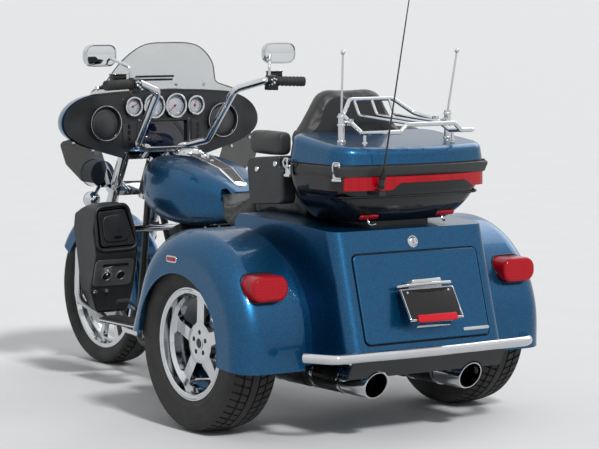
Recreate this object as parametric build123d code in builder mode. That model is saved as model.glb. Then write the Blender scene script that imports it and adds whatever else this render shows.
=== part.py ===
"""Touring trike: a motorcycle front end and V-twin engine ahead of a boot between two rear wheels.

Millimetres. The object's frame has X ahead, Y to the left and Z up, with its origin on the floor at
the middle of its length. Places along X are given as distances ahead of the rear axle.
"""
from build123d import *
from math import cos, radians, sin
import os

# Overall sizes
WHEELBASE = 1670
OVERALL_WIDTH = 1390
REAR_TRACK = 1140
REAR_TYRE_R = 323.5
REAR_TYRE_W = 205
FRONT_TYRE_R = 319.5
FRONT_TYRE_W = 130

# Steering head: angle from upright, and the place where its axis meets the floor
RAKE = 27
TRAIL = 100
FORK_UP = Vector(-sin(radians(RAKE)), 0, cos(radians(RAKE)))

# Whip aerial on the top case, the rearmost point of the object
WHIP_FOOT = (-545, 200, 905)
WHIP_LENGTH = 860
WHIP_LEAN = 13.3
WHIP_RISE = Vector(-sin(radians(WHIP_LEAN)), 0, cos(radians(WHIP_LEAN)))
WHIP_TIP_R = 1.6
WHIP_TIP_X = WHIP_FOOT[0] + WHIP_LENGTH * WHIP_RISE.X - WHIP_TIP_R * WHIP_RISE.Z

# The rear axle's place in the object's frame, and planes through it
REAR_AXLE_X = -(WHEELBASE + FRONT_TYRE_R + WHIP_TIP_X) / 2
DATUM = Plane(origin=(REAR_AXLE_X, 0, 0))

# Panel thicknesses and gaps
SHELL = 5
SKIN = 4
SHUT_LINE = 6

os.makedirs("parts", exist_ok=True)


def side(y):
    """Upright plane along the length: sketch x runs ahead of the rear axle and sketch y upwards."""
    return Plane(origin=(REAR_AXLE_X, y, 0), x_dir=(1, 0, 0), z_dir=(0, -1, 0))


def cross(x):
    """Upright plane across the width: sketch x runs to the left and sketch y upwards."""
    return Plane(origin=(REAR_AXLE_X + x, 0, 0), x_dir=(0, 1, 0), z_dir=(1, 0, 0))


def level(z):
    """Level plane: sketch x runs ahead of the rear axle and sketch y to the left."""
    return DATUM.offset(z)


def lateral(x, z, direction=1):
    """Axis across the width through a place ahead of the rear axle."""
    return Axis((REAR_AXLE_X + x, 0, z), (0, direction, 0))


def place(x, y, z):
    """A point of the object's frame from its distance ahead of the rear axle."""
    return Vector(REAR_AXLE_X + x, y, z)


def rod(start, end, radius):
    """Add a straight round bar to the part being built."""
    run = Vector(*end) - Vector(*start)
    with BuildSketch(Plane(origin=place(*start), z_dir=run)) as section:
        Circle(radius)
    extrude(section.sketch, amount=run.length)


def tube(points, radius, bend):
    """Add a round tube to the part being built, in straight runs joined by arcs."""
    with BuildLine(DATUM) as route:
        FilletPolyline(*points, radius=bend)
    with BuildSketch(Plane(origin=route.line @ 0, z_dir=route.line % 0)) as section:
        Circle(radius)
    sweep(section.sketch, path=route.line)


def both_sides(points):
    """The points of a bar that crosses the middle, from those of its left half."""
    return list(points) + [(x, -y, z) for x, y, z in reversed(points)]


def keep(piece, name):
    """Label a finished piece and write its STEP file."""
    piece.part.label = name
    export_step(piece.part, f"parts/{name}.step")


def keep_pair(piece, name):
    """Write a left-hand piece and its mirror image."""
    keep(piece, f"{name}_left")
    with BuildPart() as twin:
        mirror(piece.part, about=Plane.XZ)
    keep(twin, f"{name}_right")


# Wheels
REAR_WHEEL_Y = REAR_TRACK / 2
REAR_LIP_R = 207.5
REAR_HALF_RIM = 86.5
FRONT_LIP_R = 251.5
FRONT_HALF_RIM = 45
CASING = 11
AXLE_R = 20
AXLE_GAP = 0.4


def spin_section(x, y, z):
    """Plane for a turned wheel part: sketch x runs out from the wheel's middle, sketch y is the radius."""
    return Plane(origin=place(x, y, z), x_dir=(0, 1, 0), z_dir=(1, 0, 0))


def wheel_face(x, y, z):
    """Plane square to a wheel's axle with its origin on the axle, facing the object's left."""
    return Plane(origin=place(x, y, z), x_dir=(-1, 0, 0), z_dir=(0, 1, 0))


def tyre(x, y, radius, width, bead_r, bead_y):
    """A hollow tyre: crowned tread, bulging walls and beads that seat on the rim's lips."""
    wall_y = width / 2
    wall_r = (bead_r + radius) / 2
    tread_y = 0.43 * width
    tread_r = radius - 0.055 * width
    with BuildPart() as ring:
        with BuildSketch(spin_section(x, y, radius)):
            for inset in (0, CASING):
                mode = Mode.SUBTRACT if inset else Mode.ADD
                foot, edge = bead_y - inset, tread_y - inset
                low, high = bead_r - inset / CASING, tread_r - inset
                with BuildLine():
                    ThreePointArc((foot, low), (wall_y - inset, wall_r), (edge, high))
                    ThreePointArc((edge, high), (0, radius - inset), (-edge, high))
                    ThreePointArc((-edge, high), (inset - wall_y, wall_r), (-foot, low))
                    Line((-foot, low), (foot, low))
                make_face(mode=mode)
        revolve(axis=lateral(x, radius))
    return ring


rear_tyre = tyre(0, REAR_WHEEL_Y, REAR_TYRE_R, REAR_TYRE_W, REAR_LIP_R, REAR_HALF_RIM - 2)
keep_pair(rear_tyre, "rear_tyre")

front_tyre = tyre(WHEELBASE, 0, FRONT_TYRE_R, FRONT_TYRE_W, FRONT_LIP_R, FRONT_HALF_RIM - 2)
keep(front_tyre, "front_tyre")

# Rear rim: a dished disc with five broad spokes inside a polished lip
REAR_DISC_Y = 22
REAR_HUB_Y = 44
REAR_HUB_R = 62
REAR_WINDOW_R = (74, 172)
REAR_SPOKES = 5
REAR_SPOKE_W = 46
LUG_CIRCLE_R = 40
LUG_R = 9

with BuildPart() as rear_rim:
    with BuildSketch(spin_section(0, REAR_WHEEL_Y, REAR_TYRE_R)):
        with BuildLine():
            Polyline((-REAR_HALF_RIM, REAR_LIP_R - 1), (-REAR_HALF_RIM, 196), (-70, 186),
                     (REAR_DISC_Y - 6, 178), (REAR_DISC_Y - 10, 90), (REAR_DISC_Y - 2, REAR_HUB_R),
                     (-30, REAR_HUB_R), (-30, AXLE_R + AXLE_GAP), (REAR_HUB_Y, AXLE_R + AXLE_GAP),
                     (REAR_HUB_Y, REAR_HUB_R), (REAR_DISC_Y + 18, 84), (REAR_DISC_Y + 16, 168),
                     (60, 180), (REAR_HALF_RIM - 3, 184), (REAR_HALF_RIM, 187),
                     (REAR_HALF_RIM, REAR_LIP_R - 1), (REAR_HALF_RIM - 12, REAR_LIP_R - 1),
                     (62, 193), (-62, 195), (12 - REAR_HALF_RIM, REAR_LIP_R - 1), close=True)
        make_face()
    revolve(axis=lateral(0, REAR_TYRE_R))
    with BuildSketch(wheel_face(0, REAR_WHEEL_Y, REAR_TYRE_R)):
        Circle(REAR_WINDOW_R[1])
        Circle(REAR_WINDOW_R[0], mode=Mode.SUBTRACT)
        with PolarLocations(REAR_WINDOW_R[1] / 2, REAR_SPOKES, start_angle=90):
            Rectangle(REAR_WINDOW_R[1] * 1.2, REAR_SPOKE_W, mode=Mode.SUBTRACT)
        fillet(vertices(), 14)
    extrude(amount=REAR_HALF_RIM, mode=Mode.SUBTRACT)
    with BuildSketch(wheel_face(0, REAR_WHEEL_Y + REAR_HUB_Y, REAR_TYRE_R)):
        with PolarLocations(LUG_CIRCLE_R, REAR_SPOKES, start_angle=90):
            Circle(LUG_R)
    extrude(amount=-14, mode=Mode.SUBTRACT)

# Front rim: ten thin spokes on a central web between the hub barrel and the lip
FRONT_HUB_R = 48
FRONT_SPOKES = 10
FRONT_WINDOW_R = (78, 214)
FRONT_SPOKE_W = 24

with BuildPart() as front_rim:
    with BuildSketch(spin_section(WHEELBASE, 0, FRONT_TYRE_R)):
        with BuildLine():
            Polyline((-FRONT_HALF_RIM, FRONT_LIP_R - 1), (-FRONT_HALF_RIM, 234), (-30, 226), (-12, 220),
                     (-12, 70), (-30, FRONT_HUB_R), (-46, FRONT_HUB_R), (-46, AXLE_R + AXLE_GAP),
                     (46, AXLE_R + AXLE_GAP), (46, FRONT_HUB_R), (30, FRONT_HUB_R), (12, 70),
                     (12, 220), (30, 226), (FRONT_HALF_RIM, 234), (FRONT_HALF_RIM, FRONT_LIP_R - 1),
                     (FRONT_HALF_RIM - 9, FRONT_LIP_R - 1), (28, 238), (-28, 238),
                     (9 - FRONT_HALF_RIM, FRONT_LIP_R - 1), close=True)
        make_face()
    revolve(axis=lateral(WHEELBASE, FRONT_TYRE_R))
    with BuildSketch(wheel_face(WHEELBASE, -FRONT_HALF_RIM, FRONT_TYRE_R)):
        Circle(FRONT_WINDOW_R[1])
        Circle(FRONT_WINDOW_R[0], mode=Mode.SUBTRACT)
        with PolarLocations(sum(FRONT_WINDOW_R) / 2, FRONT_SPOKES):
            Rectangle(FRONT_WINDOW_R[1] - FRONT_WINDOW_R[0] + FRONT_SPOKE_W, FRONT_SPOKE_W,
                      mode=Mode.SUBTRACT)
        fillet(vertices(), 8)
    extrude(amount=2 * FRONT_HALF_RIM, mode=Mode.SUBTRACT)
keep(front_rim, "front_rim")

# Brake discs turn with the wheels
DISC_T = 6


def brake_disc(x, y, z, radius, bore):
    """A flat ring with a row of cooling holes."""
    with BuildPart() as disc:
        with BuildSketch(wheel_face(x, y, z)):
            Circle(radius)
            Circle(bore, mode=Mode.SUBTRACT)
            with PolarLocations((radius * 2 + bore) / 3, 10):
                Circle(radius / 22, mode=Mode.SUBTRACT)
        extrude(amount=DISC_T)
    return disc


REAR_DISC_R = 140
rear_disc = brake_disc(0, REAR_WHEEL_Y - 30 - DISC_T, REAR_TYRE_R, REAR_DISC_R, 50)
with BuildPart() as rear_wheel:
    add(rear_rim.part)
    add(rear_disc.part)
keep_pair(rear_wheel, "rear_rim")

FRONT_DISC_R = 150
with BuildPart() as front_discs:
    add(brake_disc(WHEELBASE, FRONT_HALF_RIM + 1, FRONT_TYRE_R, FRONT_DISC_R, 40).part)
    mirror(about=Plane.XZ)
keep(front_discs, "front_discs")

# Rear axle housing with its stub axles
HOUSING_R = 38
HOUSING_HALF = 470
PULLEY_R = 98

with BuildPart() as rear_axle:
    with BuildSketch(side(HOUSING_HALF)):
        with Locations((0, REAR_TYRE_R)):
            Circle(HOUSING_R)
    extrude(amount=2 * HOUSING_HALF)
    with BuildSketch(side(60)):
        with Locations((0, REAR_TYRE_R)):
            Circle(PULLEY_R)
    extrude(amount=120)
    for end in (-1, 1):
        with BuildSketch(side(end * HOUSING_HALF)):
            with Locations((0, REAR_TYRE_R)):
                Circle(AXLE_R)
        extrude(amount=-end * (REAR_WHEEL_Y + REAR_HUB_Y - 18 - HOUSING_HALF))
keep(rear_axle, "rear_axle")

# Rear mudguards: a rounded hood over each wheel with a round opening and a sunken inner valley
GUARD_OUT_Y = OVERALL_WIDTH / 2
GUARD_IN_Y = 425
BODY_HALF = 345
GUARD_BACK = (-402, 256)
GUARD_FOOT = (409, 327)
GUARD_TOP_Z = 740
GUARD_BROW_X = 237
GUARD_BACK_R = 400
GUARD_BROW_R = 330
SHOULDER_R = 90
VALLEY = 70
ARCH_AT = (30, 315)
ARCH_R = 268


def hood(inset, outer_y, inner_y, shoulder):
    """A closed block with the mudguard's side view drawn in by the inset, its outer edge rounded."""
    front_lean = (GUARD_FOOT[0] - GUARD_BROW_X) / (GUARD_TOP_Z - GUARD_FOOT[1])
    with BuildPart() as block:
        with BuildSketch(side(outer_y)):
            foot_x = GUARD_BROW_X + front_lean * GUARD_TOP_Z
            with BuildLine():
                FilletPolyline((GUARD_BACK[0], 0), (GUARD_BACK[0], GUARD_TOP_Z), (GUARD_BROW_X, GUARD_TOP_Z),
                               (foot_x, 0), radius=(GUARD_BACK_R, GUARD_BROW_R))
                Line((foot_x, 0), (GUARD_BACK[0], 0))
            make_face()
            if inset:
                offset(amount=-inset)
        extrude(amount=outer_y - inner_y)
        if shoulder:
            fillet(faces().sort_by(Axis.Y)[-1].edges().sort_by(Axis.Z)[1:], shoulder)
    return block


foot_line = Plane(origin=place(GUARD_BACK[0], 0, GUARD_BACK[1]), x_dir=(0, 1, 0),
                  z_dir=(GUARD_BACK[1] - GUARD_FOOT[1], 0, GUARD_FOOT[0] - GUARD_BACK[0]))
whole_hood = hood(0, GUARD_OUT_Y, GUARD_IN_Y, SHOULDER_R)

with BuildPart() as mudguards:
    add(whole_hood.part)
    add(hood(VALLEY, GUARD_IN_Y, BODY_HALF, 0).part)
    add(hood(SHELL, GUARD_OUT_Y - SHELL, GUARD_IN_Y + SHELL, SHOULDER_R - SHELL).part, mode=Mode.SUBTRACT)
    add(hood(VALLEY + SHELL, GUARD_IN_Y + SHELL, BODY_HALF, 0).part, mode=Mode.SUBTRACT)
    split(bisect_by=foot_line, keep=Keep.TOP)
    with BuildSketch(side(GUARD_OUT_Y)):
        with Locations(ARCH_AT):
            Circle(ARCH_R)
    extrude(amount=SHOULDER_R, mode=Mode.SUBTRACT)
    mirror(about=Plane.XZ)
keep(mudguards, "mudguards")

# Tail lamps: oval lenses that grow out of the mudguards' rounded backs
TAIL_AT = (566, 556)
TAIL_BACK_X = -396
TAIL_SIZE = (152, 92)

with BuildPart() as tail_lamps:
    with BuildSketch(cross(TAIL_BACK_X)):
        with Locations(TAIL_AT):
            RectangleRounded(*TAIL_SIZE, TAIL_SIZE[1] * 0.45)
    extrude(amount=100)
    fillet(faces().sort_by(Axis.X)[0].edges(), 14)
    add(whole_hood.part, mode=Mode.SUBTRACT)
    mirror(about=Plane.XZ)
keep(tail_lamps, "tail_lamps")

# Boot: a hollow tub between the mudguards with a leaning back
BOOT_FOOT = (-583, 300)
BOOT_LEAN = (120, 420)
BOOT_BACK_TOP = (-455, 748)
BOOT_DECK = ((-182, 766), (147, 775))
BOOT_FRONT = (175, 745)
BOOT_STEP = (-150, 430)
BOOT_CORNER_R = 45
DOOR_SIZE = (558, 324)
DOOR_CORNER_R = 20
DOOR_UP = 218
BOOT_BACK = Plane(origin=place(BOOT_FOOT[0], 0, BOOT_FOOT[1]), x_dir=(0, -1, 0),
                  z_dir=(-BOOT_LEAN[1], 0, BOOT_LEAN[0]))


def boot_form(inset):
    """The boot's outer form, or its hollow when drawn in by the wall's thickness."""
    with BuildPart() as form:
        with BuildSketch(side(BODY_HALF - inset)):
            with BuildLine():
                Polyline(BOOT_FOOT, BOOT_BACK_TOP, *BOOT_DECK, BOOT_FRONT, (BOOT_FRONT[0], BOOT_STEP[1]),
                         BOOT_STEP, (BOOT_STEP[0], BOOT_FOOT[1]), close=True)
            make_face()
            if inset:
                offset(amount=-inset)
        extrude(amount=2 * (BODY_HALF - inset))
        back_face = faces().sort_by(Axis.X)[0]
        fillet(back_face.edges().filter_by(Axis.Y, reverse=True), BOOT_CORNER_R - inset)
    return form.part


with BuildPart() as boot:
    add(boot_form(0))
    add(boot_form(SHELL), mode=Mode.SUBTRACT)
    with BuildSketch(BOOT_BACK):
        with Locations((0, DOOR_UP)):
            RectangleRounded(*DOOR_SIZE, DOOR_CORNER_R)
        offset(amount=SHUT_LINE)
    extrude(amount=-4 * SHELL, mode=Mode.SUBTRACT)
keep(boot, "boot")

# Boot door, hinged along its lower edge, with a leaning plate holder
DOOR_PROUD = 6
DOOR_T = 20

with BuildPart() as boot_door:
    with BuildSketch(BOOT_BACK.offset(DOOR_PROUD)):
        with Locations((0, DOOR_UP)):
            RectangleRounded(*DOOR_SIZE, DOOR_CORNER_R)
    extrude(amount=-DOOR_T)
    fillet(faces().sort_by(Axis((0, 0, 0), BOOT_BACK.z_dir))[-1].edges(), 5)
keep(boot_door, "boot_door")

PLATE_LOW, PLATE_HIGH = (117, 68), (240, 32)
PLATE_W = 240
PLATE_T = 3
boot_edge = Plane(origin=place(BOOT_FOOT[0], 0, BOOT_FOOT[1]), x_dir=(BOOT_LEAN[0], 0, BOOT_LEAN[1]),
                  z_dir=(0, -1, 0))

with BuildPart() as plate_holder:
    with BuildSketch(boot_edge.offset(-75)):
        with BuildLine():
            Polyline((100, DOOR_PROUD), (262, DOOR_PROUD), (252, 28), PLATE_HIGH, PLATE_LOW, (98, 40),
                     close=True)
        make_face()
    extrude(amount=150)
    with BuildSketch(boot_edge.offset(-PLATE_W / 2)):
        with BuildLine():
            Polyline(PLATE_LOW, PLATE_HIGH, (PLATE_HIGH[0] + 1, PLATE_HIGH[1] + PLATE_T),
                     (PLATE_LOW[0] + 1, PLATE_LOW[1] + PLATE_T), close=True)
        make_face()
    extrude(amount=PLATE_W)
keep(plate_holder, "plate_holder")

# Rear bumper: a bowed bar on two brackets
BUMPER_Z = 320
BUMPER_R = 18
BUMPER_END = (-500, 497, BUMPER_Z)
BUMPER_BEND = (-604, 440, BUMPER_Z)
BUMPER_MIDDLE = (-622, 0, BUMPER_Z)
BUMPER_BENDS = (70, 3000, 70)
BUMPER_BRACKET_Y = 180

with BuildPart() as bumper:
    for y in (-BUMPER_BRACKET_Y, BUMPER_BRACKET_Y):
        rod((-560, y, BUMPER_Z), (BUMPER_BEND[0], y, BUMPER_Z), 9)
    split(bisect_by=BOOT_BACK, keep=Keep.TOP)
    half = both_sides([BUMPER_END, BUMPER_BEND])
    tube(half[:2] + [BUMPER_MIDDLE] + half[2:], BUMPER_R, BUMPER_BENDS)
keep(bumper, "bumper")

# Top case: a hollow shell whose sides draw in towards the floor
CASE_SECTIONS = (
    # height, front x, rear x, bow of the rear, half width, corner radius
    (776, -140, -400, 25, 225, 55),
    (860, -122, -452, 42, 308, 80),
    (982, -115, -478, 58, 341, 95),
)
CASE_WALL = 4


def case_plan(z, front, rear, bow, half, corner, inset=0):
    """The case's plan at one height: straight front and sides and a bowed rear."""
    with BuildSketch(level(z)) as plan:
        with BuildLine():
            Polyline((rear, -half), (front, -half), (front, half), (rear, half))
            ThreePointArc((rear, half), (rear - bow, 0), (rear, -half))
        make_face()
        fillet(vertices(), corner)
        if inset:
            offset(amount=-inset)
    return plan.sketch


with BuildPart() as case_block:
    loft([case_plan(*section) for section in CASE_SECTIONS])

with BuildPart() as case_body:
    add(case_block.part)
    inner_heights = (CASE_SECTIONS[0][0] + CASE_WALL, CASE_SECTIONS[1][0], CASE_SECTIONS[2][0])
    loft([case_plan(z, *section[1:], inset=CASE_WALL) for z, section in zip(inner_heights, CASE_SECTIONS)],
         mode=Mode.SUBTRACT)
keep(case_body, "case_body")

# Lid: tapering sides under a top that falls towards the rear
LID_FOOT_Z = CASE_SECTIONS[2][0] + SHUT_LINE
LID_TAPER = 9
LID_ROUND = 30
LID_FRONT = (-115, 1092)
LID_FALL = (421, 50)
LID_TOP = Plane(origin=place(LID_FRONT[0], 0, LID_FRONT[1]), x_dir=(0, 1, 0),
                z_dir=(-LID_FALL[1], 0, LID_FALL[0]))


def lid_form(inset):
    """The lid as a solid block, drawn in by the inset."""
    top = LID_TOP.offset(-inset)
    with BuildPart() as form:
        extrude(case_plan(LID_FOOT_Z, *CASE_SECTIONS[2][1:], inset=inset), amount=LID_FRONT[1] - LID_FOOT_Z,
                taper=LID_TAPER)
        split(bisect_by=top, keep=Keep.BOTTOM)
        fillet(faces().sort_by(Axis((0, 0, 0), top.z_dir))[-1].edges(), LID_ROUND - inset)
    return form


with BuildPart() as case_lid:
    add(lid_form(0).part)
    add(lid_form(CASE_WALL).part, mode=Mode.SUBTRACT)
keep(case_lid, "case_lid")

# Lamp band round the back of the case, just under the lid
BAND_Z = (896, 944)
BAND_PROUD = 12
with BuildPart() as case_lamp:
    with BuildSketch(level(BAND_Z[0])):
        with BuildLine():
            Polyline((-470, 338), (-300, 338), (-300, -338), (-470, -338))
            ThreePointArc((-470, -338), (-528 - BAND_PROUD, 0), (-470, 338))
        make_face()
        fillet(vertices().group_by(Axis.X)[0], 70)
    extrude(amount=BAND_Z[1] - BAND_Z[0])
    add(case_block.part, mode=Mode.SUBTRACT)
    with BuildSketch(level(BAND_Z[0])):
        with Locations((-240, 0)):
            Rectangle(400, 660)
    extrude(amount=BAND_Z[1] - BAND_Z[0], mode=Mode.SUBTRACT)
keep(case_lamp, "case_lamp")

# Plinth that carries the case on the boot's deck
CASE_PLINTH_HALF = 130
with BuildPart() as case_plinth:
    with BuildSketch(side(0)):
        with BuildLine():
            Polyline((-390, 750), (-190, 763), (-190, 776), (-390, 776), close=True)
        make_face()
    extrude(amount=CASE_PLINTH_HALF, both=True)
    add(boot.part, mode=Mode.SUBTRACT)
keep(case_plinth, "case_plinth")

# Luggage rack on the lid: a hoop ahead, a raised rail behind, three bars between, and two aerial masts
RACK_R = 8
RACK_BAR_R = 5.5
RACK_JOINT = (-350, 194, 1132)
RACK_HOOP = [RACK_JOINT, (-262, 162, 1152), (-214, 98, 1206)]
RACK_TAIL_X = -572
RACK_TAIL = [RACK_JOINT, (-430, 200, 1095), (RACK_TAIL_X, 197, 1104), (RACK_TAIL_X, 136, 1104),
             (RACK_TAIL_X, 108, 1130)]
RACK_BARS = (-80, 0, 80)
RACK_COLLAR = (12, 12)
RACK_POST = (-445, 199, 1095)
MAST_FOOT = (-361, 241, 1036)
MAST_COLLAR_Z = 1165
MAST_COLLAR_R = 12
MAST_R = 4
MAST_TIP = (-393, 258, 1384)
MAST_TIP_R = 9


def ball(x, y, z, radius):
    """Add a round knob to the part being built."""
    with Locations(place(x, y, z)):
        Sphere(radius)


with BuildPart() as luggage_rack:
    tube(both_sides(RACK_HOOP), RACK_R, 26)
    tube(both_sides(RACK_TAIL), RACK_R, 15)
    for y in RACK_BARS:
        tube([(-214, y, 1206), (-250, y, 1148), (RACK_TAIL_X, y, 1130)], RACK_BAR_R, 24)
    collar_r, collar_half = RACK_COLLAR
    for side_sign in (-1, 1):
        joint, post, mast, tip = [Vector(x, side_sign * y, z)
                                  for x, y, z in (RACK_JOINT, RACK_POST, MAST_FOOT, MAST_TIP)]
        rod(joint - Vector(0, 0, collar_half), joint + Vector(0, 0, collar_half), collar_r)
        rod(joint, (mast.X, mast.Y, joint.Z), RACK_BAR_R)
        rod((post.X, post.Y, mast.Z), post, RACK_BAR_R)
        rod(mast, (mast.X, mast.Y, MAST_COLLAR_Z), MAST_COLLAR_R)
        rod((mast.X, mast.Y, MAST_COLLAR_Z - MAST_TIP_R), tip, MAST_R)
        ball(*tip, MAST_TIP_R)
    split(bisect_by=LID_TOP, keep=Keep.TOP)
keep(luggage_rack, "luggage_rack")

with BuildPart() as whip_aerial:
    foot = place(*WHIP_FOOT)
    with BuildSketch(Plane(origin=foot, z_dir=WHIP_RISE)):
        Circle(11)
    extrude(amount=46)
    with BuildSketch(Plane(origin=foot + WHIP_RISE * 46, z_dir=WHIP_RISE)):
        Circle(3.5)
    with BuildSketch(Plane(origin=foot + WHIP_RISE * WHIP_LENGTH, z_dir=WHIP_RISE)):
        Circle(WHIP_TIP_R)
    loft()
    with BuildSketch(side(WHIP_FOOT[1] + 14)):
        with BuildLine():
            Polyline((WHIP_FOOT[0] - 10, 880), (WHIP_FOOT[0] - 10, 896), (-480, 896), (-480, 880), close=True)
        make_face()
    extrude(amount=28)
    add(case_block.part, mode=Mode.SUBTRACT)
    add(case_lamp.part, mode=Mode.SUBTRACT)
keep(whip_aerial, "whip_aerial")

# Seats and padding: plain soft forms
SEAT_TOP = ((300, 862), (420, 784), (530, 768), (610, 802), (655, 836))
SEAT_BASE = ((655, 800), (600, 716), (464, 690), (300, 716))
SEAT_HALF = ((300, 170), (420, 205), (540, 180), (655, 95))

with BuildPart() as rider_seat:
    with BuildSketch(side(220)):
        with BuildLine():
            Polyline(*SEAT_TOP, *SEAT_BASE, close=True)
        make_face()
        fillet(vertices(), 12)
    extrude(amount=440)
    with BuildSketch(level(0)):
        with BuildLine():
            Polyline(*SEAT_HALF, *[(x, -y) for x, y in reversed(SEAT_HALF)], close=True)
        make_face()
        fillet(vertices(), 24)
    extrude(amount=1000, mode=Mode.INTERSECT)
keep(rider_seat, "rider_seat")

with BuildPart() as pillion_seat:
    with BuildSketch(side(190)):
        with BuildLine():
            Polyline((296, 750), (296, 866), (250, 896), (60, 884), (-70, 900), (-70, 771), (190, 777),
                     close=True)
        make_face()
        fillet(vertices(), 12)
    extrude(amount=380)
keep(pillion_seat, "pillion_seat")

BACKREST_FACE = ((-255, 890), (255, 890), (262, 1075), (135, 1262), (-135, 1262), (-262, 1075))
BACKREST_BENDS = (30, 30, 60, 90, 90, 60)

with BuildPart() as backrest:
    with BuildSketch(cross(-102)):
        with BuildLine():
            FilletPolyline(*BACKREST_FACE, radius=BACKREST_BENDS, close=True)
        make_face()
    extrude(amount=78)
    fillet(faces().filter_by(Axis.X).edges(), 24)
    add(pillion_seat.part, mode=Mode.SUBTRACT)
keep(backrest, "backrest")

with BuildPart() as arm_pads:
    with BuildSketch(cross(-100)):
        with Locations((300, 1045)):
            RectangleRounded(64, 92, 26)
    extrude(amount=206)
    fillet(faces().filter_by(Axis.X).edges(), 16)
    mirror(about=Plane.XZ)
keep(arm_pads, "arm_pads")

POD_BENDS = (24, 30, 30, 10, 10, 10)

with BuildPart() as speaker_pods:
    with BuildSketch(side(336)):
        with BuildLine():
            FilletPolyline((-124, 826), (92, 812), (112, 985), (-102, 1002), (-102, 960), (-124, 950),
                           radius=POD_BENDS, close=True)
        make_face()
    extrude(amount=64)
    fillet(faces().filter_by(Axis.Y).edges(), 8)
    mirror(about=Plane.XZ)
    add(arm_pads.part, mode=Mode.SUBTRACT)
    add(case_block.part, mode=Mode.SUBTRACT)
keep(speaker_pods, "speaker_pods")

# Fuel tank and the console along its top
TANK_SECTIONS = (
    # distance ahead, width, underside, top, corner radius
    (612, 170, 696, 812, 40),
    (760, 320, 672, 880, 80),
    (950, 396, 664, 922, 108),
    (1120, 340, 690, 930, 100),
    (1218, 160, 752, 896, 56),
)
TUNNEL_HALF = 42
TUNNEL_ROOF = ((560, 600), (1280, 600), (1280, 864), (1130, 812), (1040, 790), (560, 790))


def upright_section(x, width, low, high, corner):
    """A rounded cross-section standing across the object."""
    with BuildSketch(cross(x)) as section:
        with Locations((0, (low + high) / 2)):
            RectangleRounded(width, high - low, corner)
    return section.sketch


with BuildPart() as fuel_tank:
    loft([upright_section(*row) for row in TANK_SECTIONS])
    with BuildSketch(side(TUNNEL_HALF)):
        with BuildLine():
            Polyline(*TUNNEL_ROOF, close=True)
        make_face()
    extrude(amount=2 * TUNNEL_HALF, mode=Mode.SUBTRACT)
    add(rider_seat.part, mode=Mode.SUBTRACT)
keep(fuel_tank, "fuel_tank")

with BuildPart() as tank_console:
    with BuildSketch(level(700)):
        with BuildLine():
            FilletPolyline((640, -28), (1130, -58), (1130, 58), (640, 28), radius=24, close=True)
        make_face()
    extrude(amount=300)
    with BuildSketch(side(80)):
        with BuildLine():
            Polyline((600, 812), (760, 894), (950, 938), (1120, 946), (1140, 900), (1140, 700), (600, 700),
                     close=True)
        make_face()
    extrude(amount=160, mode=Mode.INTERSECT)
    add(fuel_tank.part, mode=Mode.SUBTRACT)
    add(rider_seat.part, mode=Mode.SUBTRACT)
    split(bisect_by=Plane(origin=place(640, 0, 806), x_dir=(0, 1, 0), z_dir=(-90, 0, 490)), keep=Keep.TOP)
keep(tank_console, "tank_console")

# Battery box under the seat, and the painted covers that hide it
BOX_X = (318, 512)
BOX_Z = (440, 684)
BOX_HALF = 126
COVER_Y = 168

with BuildPart() as battery_box:
    with BuildSketch(side(BOX_HALF)):
        with BuildLine():
            Polyline((BOX_X[0], BOX_Z[0]), (BOX_X[1], BOX_Z[0]), (BOX_X[1], BOX_Z[1]), (BOX_X[0], BOX_Z[1]),
                     close=True)
        make_face()
    extrude(amount=2 * BOX_HALF)
    for x in (BOX_X[0] + 60, BOX_X[1] - 30):
        rod((x, -COVER_Y, 560), (x, COVER_Y, 560), 10)
keep(battery_box, "battery_box")

with BuildPart() as side_covers:
    with BuildSketch(side(COVER_Y + SKIN)):
        with BuildLine():
            FilletPolyline((300, 452), (528, 452), (548, 560), (520, 684), (330, 690), (290, 600),
                           radius=30, close=True)
        make_face()
    extrude(amount=SKIN)
    mirror(about=Plane.XZ)
keep(side_covers, "side_covers")

# Frame: backbone, cradle, seat uprights and the axle rails
HEAD_ALONG = (860, 1000)
HEAD_R = 32
STEM_R = 16
SEAT_RAIL_Z = 698
LIFT_PAD_X = 680
LIFT_PAD_Z = 132
CRADLE_R = 15
REAR_RAIL_Z = BOOT_STEP[1] - CRADLE_R
CRADLE = [(1330, 12, 822), (1236, 130, 150), (300, 130, 150), (200, 150, REAR_RAIL_Z),
          (-130, 150, REAR_RAIL_Z)]


def steering_plane(along):
    """Plane square to the steering axis, at a distance up it from the floor."""
    return Plane(origin=place(WHEELBASE + TRAIL, 0, 0) + FORK_UP * along, x_dir=(0, 1, 0), z_dir=FORK_UP)


with BuildPart() as frame:
    tube([(1330, 0, 842), (1130, 0, 760), (640, 0, 748), (550, 0, SEAT_RAIL_Z), (330, 0, SEAT_RAIL_Z)], 27, 60)
    for side_sign in (-1, 1):
        tube([(x, side_sign * y, z) for x, y, z in CRADLE], CRADLE_R, 70)
        rod((330, side_sign * 150, SEAT_RAIL_Z), (220, side_sign * 150, 400), 13)
        rod((0, side_sign * 150, REAR_RAIL_Z), (0, side_sign * 150, REAR_TYRE_R), 13)
    rod((330, -150, SEAT_RAIL_Z), (330, 150, SEAT_RAIL_Z), 16)
    rod((0, -150, REAR_RAIL_Z), (0, 150, REAR_RAIL_Z), 13)
    with BuildSketch(level(LIFT_PAD_Z)):
        with Locations((LIFT_PAD_X, 0)):
            Rectangle(160, 290)
    extrude(amount=8)
    with BuildSketch(steering_plane(HEAD_ALONG[0])):
        Circle(HEAD_R)
    extrude(amount=HEAD_ALONG[1] - HEAD_ALONG[0])
    with BuildSketch(steering_plane(HEAD_ALONG[0] - 20)):
        Circle(STEM_R + AXLE_GAP)
    extrude(amount=HEAD_ALONG[1] - HEAD_ALONG[0] + 40, mode=Mode.SUBTRACT)
    for other in (rider_seat, battery_box, rear_axle):
        add(other.part, mode=Mode.SUBTRACT)
keep(frame, "frame")

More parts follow.
